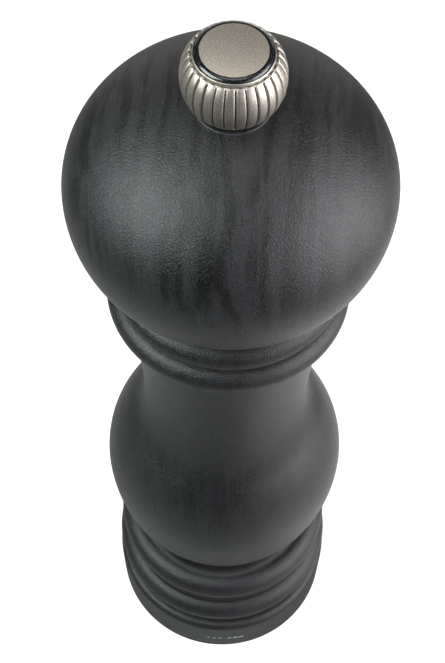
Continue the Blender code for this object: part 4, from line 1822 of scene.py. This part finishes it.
@dataclass
class Spindle(SubAssembly):
    """The square shaft with its thread, the toothed inner burr and the small rings on it."""

    square: float = 6.0
    square_low: float = 6.7
    square_high: float = 195.0
    bevel: float = 0.35
    journal_radius: float = 2.9
    bottom: float = 0.6
    clip_radius: float = 2.1
    clip_low: float = 0.95
    clip_high: float = 2.05
    thread_radius: float = 2.5
    top: float = 215.2
    thread_pitch: float = 0.8
    thread_depth: float = 0.42
    cone_low: float = 6.7
    cone_high: float = 21.0
    cone_bore: float = 4.65
    cone_radius: float = 12.4
    teeth: float = 24.0
    tooth_depth: float = 0.8
    steps: int = 48

    def shaft(self) -> bpy.types.Object:
        """Build the shaft.

        Returns:
            The bevelled square bar with its turned ends.
        """
        shape = bmesh.new()
        length = self.square_high - self.square_low
        bmesh.ops.create_cube(shape, size=1.0)
        scale = Matrix.Diagonal((self.square * MM, self.square * MM, length * MM, 1.0))
        shape.transform(Matrix.Translation((0, 0, (self.square_low + length / 2) * MM)) @ scale)
        edges = shape.edges[:]
        bmesh.ops.bevel(shape, geom=edges, offset=self.bevel * MM, segments=3, profile=0.5, affect="EDGES")
        journal = [
            (0, self.square_low + 2),
            (self.journal_radius, self.square_low + 2),
            (self.journal_radius, self.clip_high),
            (self.clip_radius, self.clip_high),
            (self.clip_radius, self.clip_low),
            (self.journal_radius, self.clip_low),
            (self.journal_radius, self.bottom),
            (0, self.bottom),
        ]
        spin(shape, softened(journal, 0.15), self.steps)
        thread = [(0, self.top), (self.thread_radius - 0.6, self.top), (self.thread_radius, self.top - 0.8)]
        thread += [(self.thread_radius, self.square_high - 2), (0, self.square_high - 2)]
        spin(shape, split(thread, 0.1), self.steps)
        return add_piece("threaded_spindle", shape)

    def inner_burr(self) -> bpy.types.Object:
        """Build the inner burr.

        Returns:
            The cone before its teeth are cut, with a square bore.
        """
        top = (self.cone_bore, self.cone_high)
        foot = (self.cone_bore, self.cone_low)
        side = [top, (8.0, self.cone_high), (8.6, 19.5), (self.cone_radius, 8.2)]
        side.append((self.cone_radius, self.cone_low))
        outline = [*split(softened(side, 0.25)[1:-1], 0.45), foot, top]
        burr = turned("inner_burr_teeth", outline, 336)
        square_bore(burr, self.cone_bore + GAP / 2, self.square / 2 + GAP)
        return burr

    def build(self) -> None:
        """Cut the thread and the teeth, and dress the small rings."""
        shaft = self.shaft()
        HelicalCut.run(
            shaft,
            Finishes.STEEL,
            Turns_Each_Millimetre=1 / self.thread_pitch,
            Depth=self.thread_depth,
            Lower_End=self.square_high + 0.4,
            Upper_End=self.top,
            Inner_Radius=self.thread_radius * 0.7,
            Outer_Radius=self.thread_radius * 1.02,
        )
        self.settle(shaft, "spindle", Finishes.STEEL, "spindle_shaft")
        burr = self.inner_burr()
        HelicalCut.run(
            burr,
            Finishes.HARD_STEEL,
            Starts=self.teeth,
            Turns_Each_Millimetre=0.2,
            Depth=self.tooth_depth,
            Saw=0.75,
            Lower_End=self.cone_low - 0.6,
            Upper_End=self.cone_high + 0.2,
            Fade=1.0,
            Inner_Radius=6.8,
        )
        self.settle(burr, "spindle", Finishes.HARD_STEEL, "inner_burr")
        self.dress_node("thrust_washer", Finishes.BRASS)
        self.dress_node("push_washer", Finishes.STEEL)
        self.dress_node("retaining_clip", Finishes.STEEL)


@dataclass
class Knob(SubAssembly):
    """The fluted knob on its brass nut, with a black ring and a plain disc let into its top."""

    belly_radius: float = 8.6
    belly_height: float = 214.2
    core_radius: float = 3.9
    shoulder_rise: float = 6.0
    foot_drop: float = 6.15
    foot_radius: float = 5.7
    foot_height: float = 208.3
    rim_radius: float = 6.5
    rim_top: float = 219.5
    recess_radius: float = 6.3
    recess_height: float = 218.9
    cavity_radius: float = 4.3
    cavity_top: float = 216.8
    ribs: int = 29
    steps_each_rib: int = 20
    groove_depth: float = 0.34
    groove_share: float = 0.25
    rib_crown: float = 0.06
    rib_top: float = 219.02
    gutter_height: float = 219.1
    disc_radius: float = 5.42
    disc_top: float = 220.0
    inlay_foot: float = 219.0
    inlay_steps: int = 160
    nut_radius: float = 4.0
    nut_bore: float = 2.8
    nut_low: float = 208.9
    nut_high: float = 216.4
    nut_steps: int = 144

    def outline(self) -> list[Point]:
        """Draw the shell.

        Returns:
            Its profile, from the middle of the recess round to the top of the cavity.
        """
        centre = (self.core_radius, self.belly_height)
        across = self.belly_radius - self.core_radius
        shoulder = arc(centre, (across, self.shoulder_rise), 52.5, 0, 64, 2.2)
        waist = arc(centre, (across, self.foot_drop), 0, -66, 48)[1:]
        crest = self.rim_top
        recess = [(0.0, self.recess_height), (self.recess_radius, self.recess_height)]
        rim = [(self.recess_radius, crest - 0.12), (self.recess_radius + 0.03, crest - 0.03)]
        rim += [(self.recess_radius + 0.08, crest), (self.rim_radius - 0.06, crest - 0.01)]
        rim += [(self.rim_radius, crest - 0.07), (self.rim_radius + 0.03, crest - 0.44)]
        rim += [(self.rim_radius + 0.1, crest - 0.66), (self.rim_radius + 0.26, crest - 0.68)]
        foot = [(self.foot_radius, self.foot_height + 0.12), (self.foot_radius - 0.25, self.foot_height)]
        cavity = [(self.cavity_radius, self.foot_height), (self.cavity_radius, self.cavity_top)]
        return [*recess, *rim, *shoulder, *waist, *foot, *cavity, (0.0, self.cavity_top)]

    def build(self) -> None:
        """Flute the shell, knurl the nut and set the ring and the disc."""
        shell = turned("fluted_knob", self.outline(), self.ribs * self.steps_each_rib)
        Fluting.run(
            shell,
            Finishes.NICKEL,
            Rib_Count=float(self.ribs),
            Groove_Depth=self.groove_depth,
            Groove_Share=self.groove_share,
            Rib_Crown=self.rib_crown,
            Lower_End=self.foot_height + 0.5,
            Upper_End=self.rib_top,
            End_Length=0.1,
            Rim_Line=self.gutter_height,
            Inner_Radius=self.rim_radius + 0.33,
        )
        shell.data.set_sharp_from_angle(angle=math.radians(60))
        self.settle(shell, "knob", Finishes.NICKEL, "knob_shell")
        self.settle(self.trim_ring(), "knob", Finishes.LACQUER, "knob_trim_ring")
        self.settle(self.disc(), "knob", Finishes.DISC, "knob_disc")
        self.settle(self.nut(), "nut", Finishes.BRASS, "knob_nut")

    def trim_ring(self) -> bpy.types.Object:
        """Build the black ring.

        Returns:
            A ring that bulges and slopes outwards from the disc to the rim.
        """
        foot = self.inlay_foot
        outer = (self.recess_radius - 0.02, self.rim_top - 0.1)
        inner = (self.disc_radius + 0.02, self.disc_top - 0.06)
        bulge = cove(outer, (6.2, 219.68), (5.86, 219.95), inner, 14)
        outline = [(outer[0], foot), outer, *bulge, inner, (inner[0], foot)]
        return turned("black_trim_ring", outline, self.inlay_steps)

    def nut(self) -> bpy.types.Object:
        """Build the nut.

        Returns:
            A tube with straight knurls round it.
        """
        corners = [(self.nut_radius, self.nut_high), (self.nut_radius, self.nut_low)]
        corners += [(self.nut_bore, self.nut_low), (self.nut_bore, self.nut_high)]
        nut = turned("knurled_nut", split([*corners, corners[0]], 0.3)[:-1], self.nut_steps)
        HelicalCut.run(
            nut,
            Finishes.BRASS,
            Starts=24.0,
            Turns_Each_Millimetre=0.0,
            Depth=0.22,
            Lower_End=self.nut_low + 0.4,
            Upper_End=self.nut_high - 0.4,
            Inner_Radius=3.4,
        )
        return nut

    def disc(self) -> bpy.types.Object:
        """Build the disc.

        Returns:
            A plain disc with a soft edge.
        """
        top = self.disc_top
        side = self.disc_radius
        edge = [(side - 0.12, top), (side - 0.03, top - 0.03), (side, top - 0.12)]
        outline = [(0.0, top), *edge, (side, self.inlay_foot), (0.0, self.inlay_foot)]
        return turned("plain_disc", outline, self.inlay_steps)


# Studio


@dataclass(frozen=True)
class Softbox:
    """A soft rectangular light that faces the mill, or a bounce card that lies on the floor."""

    name: str
    place: tuple[float, float, float]
    size: Point
    power: float
    colour: Colour = (1.0, 1.0, 1.0)
    lies_flat: bool = False

    def hang(self, aim: Vector) -> None:
        """Put the light in the scene.

        Args:
            aim: The point that it faces, unless it lies flat.
        """
        light = bpy.data.lights.new(self.name, "AREA")
        light.shape = "RECTANGLE"
        light.size, light.size_y = self.size
        light.energy = self.power
        light.color = self.colour
        made = bpy.data.objects.new(self.name, light)
        made.location = self.place
        toward = Vector((0.0, 0.0, 1.0)) if self.lies_flat else aim - made.location
        made.rotation_euler = toward.to_track_quat("-Z", "Y").to_euler()
        made.visible_camera = False
        bpy.context.scene.collection.objects.link(made)


@dataclass
class Studio:
    """The pale floor, the soft lights and the camera."""

    camera_distance: float = 290.0
    camera_elevation: float = 62.4
    aim_height: float = 110.0
    lens: float = 68.7
    shift: Point = (-0.005, 0.08)
    roll: float = 1.44
    floor_size: float = 6.0
    world_light: float = 0.012
    backdrop_glow: float = 0.9
    softboxes: tuple[Softbox, ...] = (
        Softbox("left softbox", (-0.36, -0.12, 0.48), (0.35, 0.35), 5.8, (0.93, 1.0, 0.99)),
        Softbox("right softbox", (0.45, -0.16, 0.21), (0.36, 0.62), 3.4, (0.96, 0.97, 1.0)),
        Softbox("upper right softbox", (0.42, -0.05, 0.42), (0.35, 0.35), 2.8, (0.97, 0.97, 1.0)),
        Softbox("front right softbox", (0.36, -0.36, 0.30), (0.3, 0.4), 1.0, (0.97, 0.96, 1.0)),
        Softbox("low right softbox", (0.5, 0.02, 0.08), (0.3, 0.16), 0.68, (1.0, 0.98, 0.97)),
        Softbox("back softbox", (0.0, 0.55, 0.2), (0.9, 0.3), 0.9, (1.0, 0.97, 0.93)),
        Softbox("top softbox", (0.0, 0.05, 0.8), (0.3, 0.3), 0.95, (1.0, 0.99, 0.97)),
        Softbox("right bounce card", (0.105, 0.02, 0.003), (0.13, 0.3), 0.09, (1.0, 0.97, 0.95), True),
        Softbox("left bounce card", (-0.105, 0.02, 0.003), (0.13, 0.3), 0.02, (1.0, 0.98, 0.97), True),
    )

    def build(self) -> None:
        """Set up everything that isn't part of the mill."""
        self.build_floor()
        self.build_world()
        aim = Vector((0.0, 0.0, self.aim_height * MM))
        for softbox in self.softboxes:
            softbox.hang(aim)
        self.build_camera()

    def build_floor(self) -> None:
        """Lay the paper floor."""
        shape = bmesh.new()
        bmesh.ops.create_grid(shape, x_segments=8, y_segments=8, size=self.floor_size / 2)
        floor = add_piece("studio_floor", shape)
        floor.data.materials.append(Finishes.PAPER.value.material())

    def build_world(self) -> None:
        """Fill the shadows with an even dim light, behind a backdrop that looks as pale as the floor."""
        world = bpy.data.worlds.new("studio_world")
        world.use_nodes = True
        wiring = Wiring(world.node_tree)
        sky = world.node_tree.nodes["Background"]
        sky.inputs["Color"].default_value = (1.0, 1.0, 1.0, 1.0)
        seen = wiring.add("ShaderNodeLightPath").outputs["Is Camera Ray"]
        strength = wiring.math("MULTIPLY_ADD", seen, self.backdrop_glow, self.world_light)
        wiring.feed(sky.inputs["Strength"], strength)
        bpy.context.scene.world = world
        bpy.context.scene.view_settings.view_transform = "Standard"

    def build_camera(self) -> None:
        """Look down on the mill from the front."""
        data = bpy.data.cameras.new("studio_camera")
        data.lens = self.lens
        data.shift_x, data.shift_y = self.shift
        camera = bpy.data.objects.new("studio_camera", data)
        up = math.radians(self.camera_elevation)
        back = Vector((0.0, -math.cos(up), math.sin(up)))
        place = Vector((0.0, 0.0, self.aim_height * MM)) + back * self.camera_distance * MM
        look = (-back).to_track_quat("-Z", "Y").to_matrix().to_4x4()
        roll = Matrix.Rotation(math.radians(self.roll), 4, "Z")
        camera.matrix_world = Matrix.Translation(place) @ look @ roll
        bpy.context.scene.collection.objects.link(camera)
        bpy.context.scene.camera = camera


def main() -> None:
    """Build the mill and the studio."""
    logging.basicConfig(level=logging.INFO, format="%(name)s: %(message)s")
    for part in (Body(), GrindRing(), Mechanism(), Carrier(), Spindle(), Head(), Knob()):
        part.build()
        part.report()
    Studio().build()


if __name__ == "__main__":
    main()
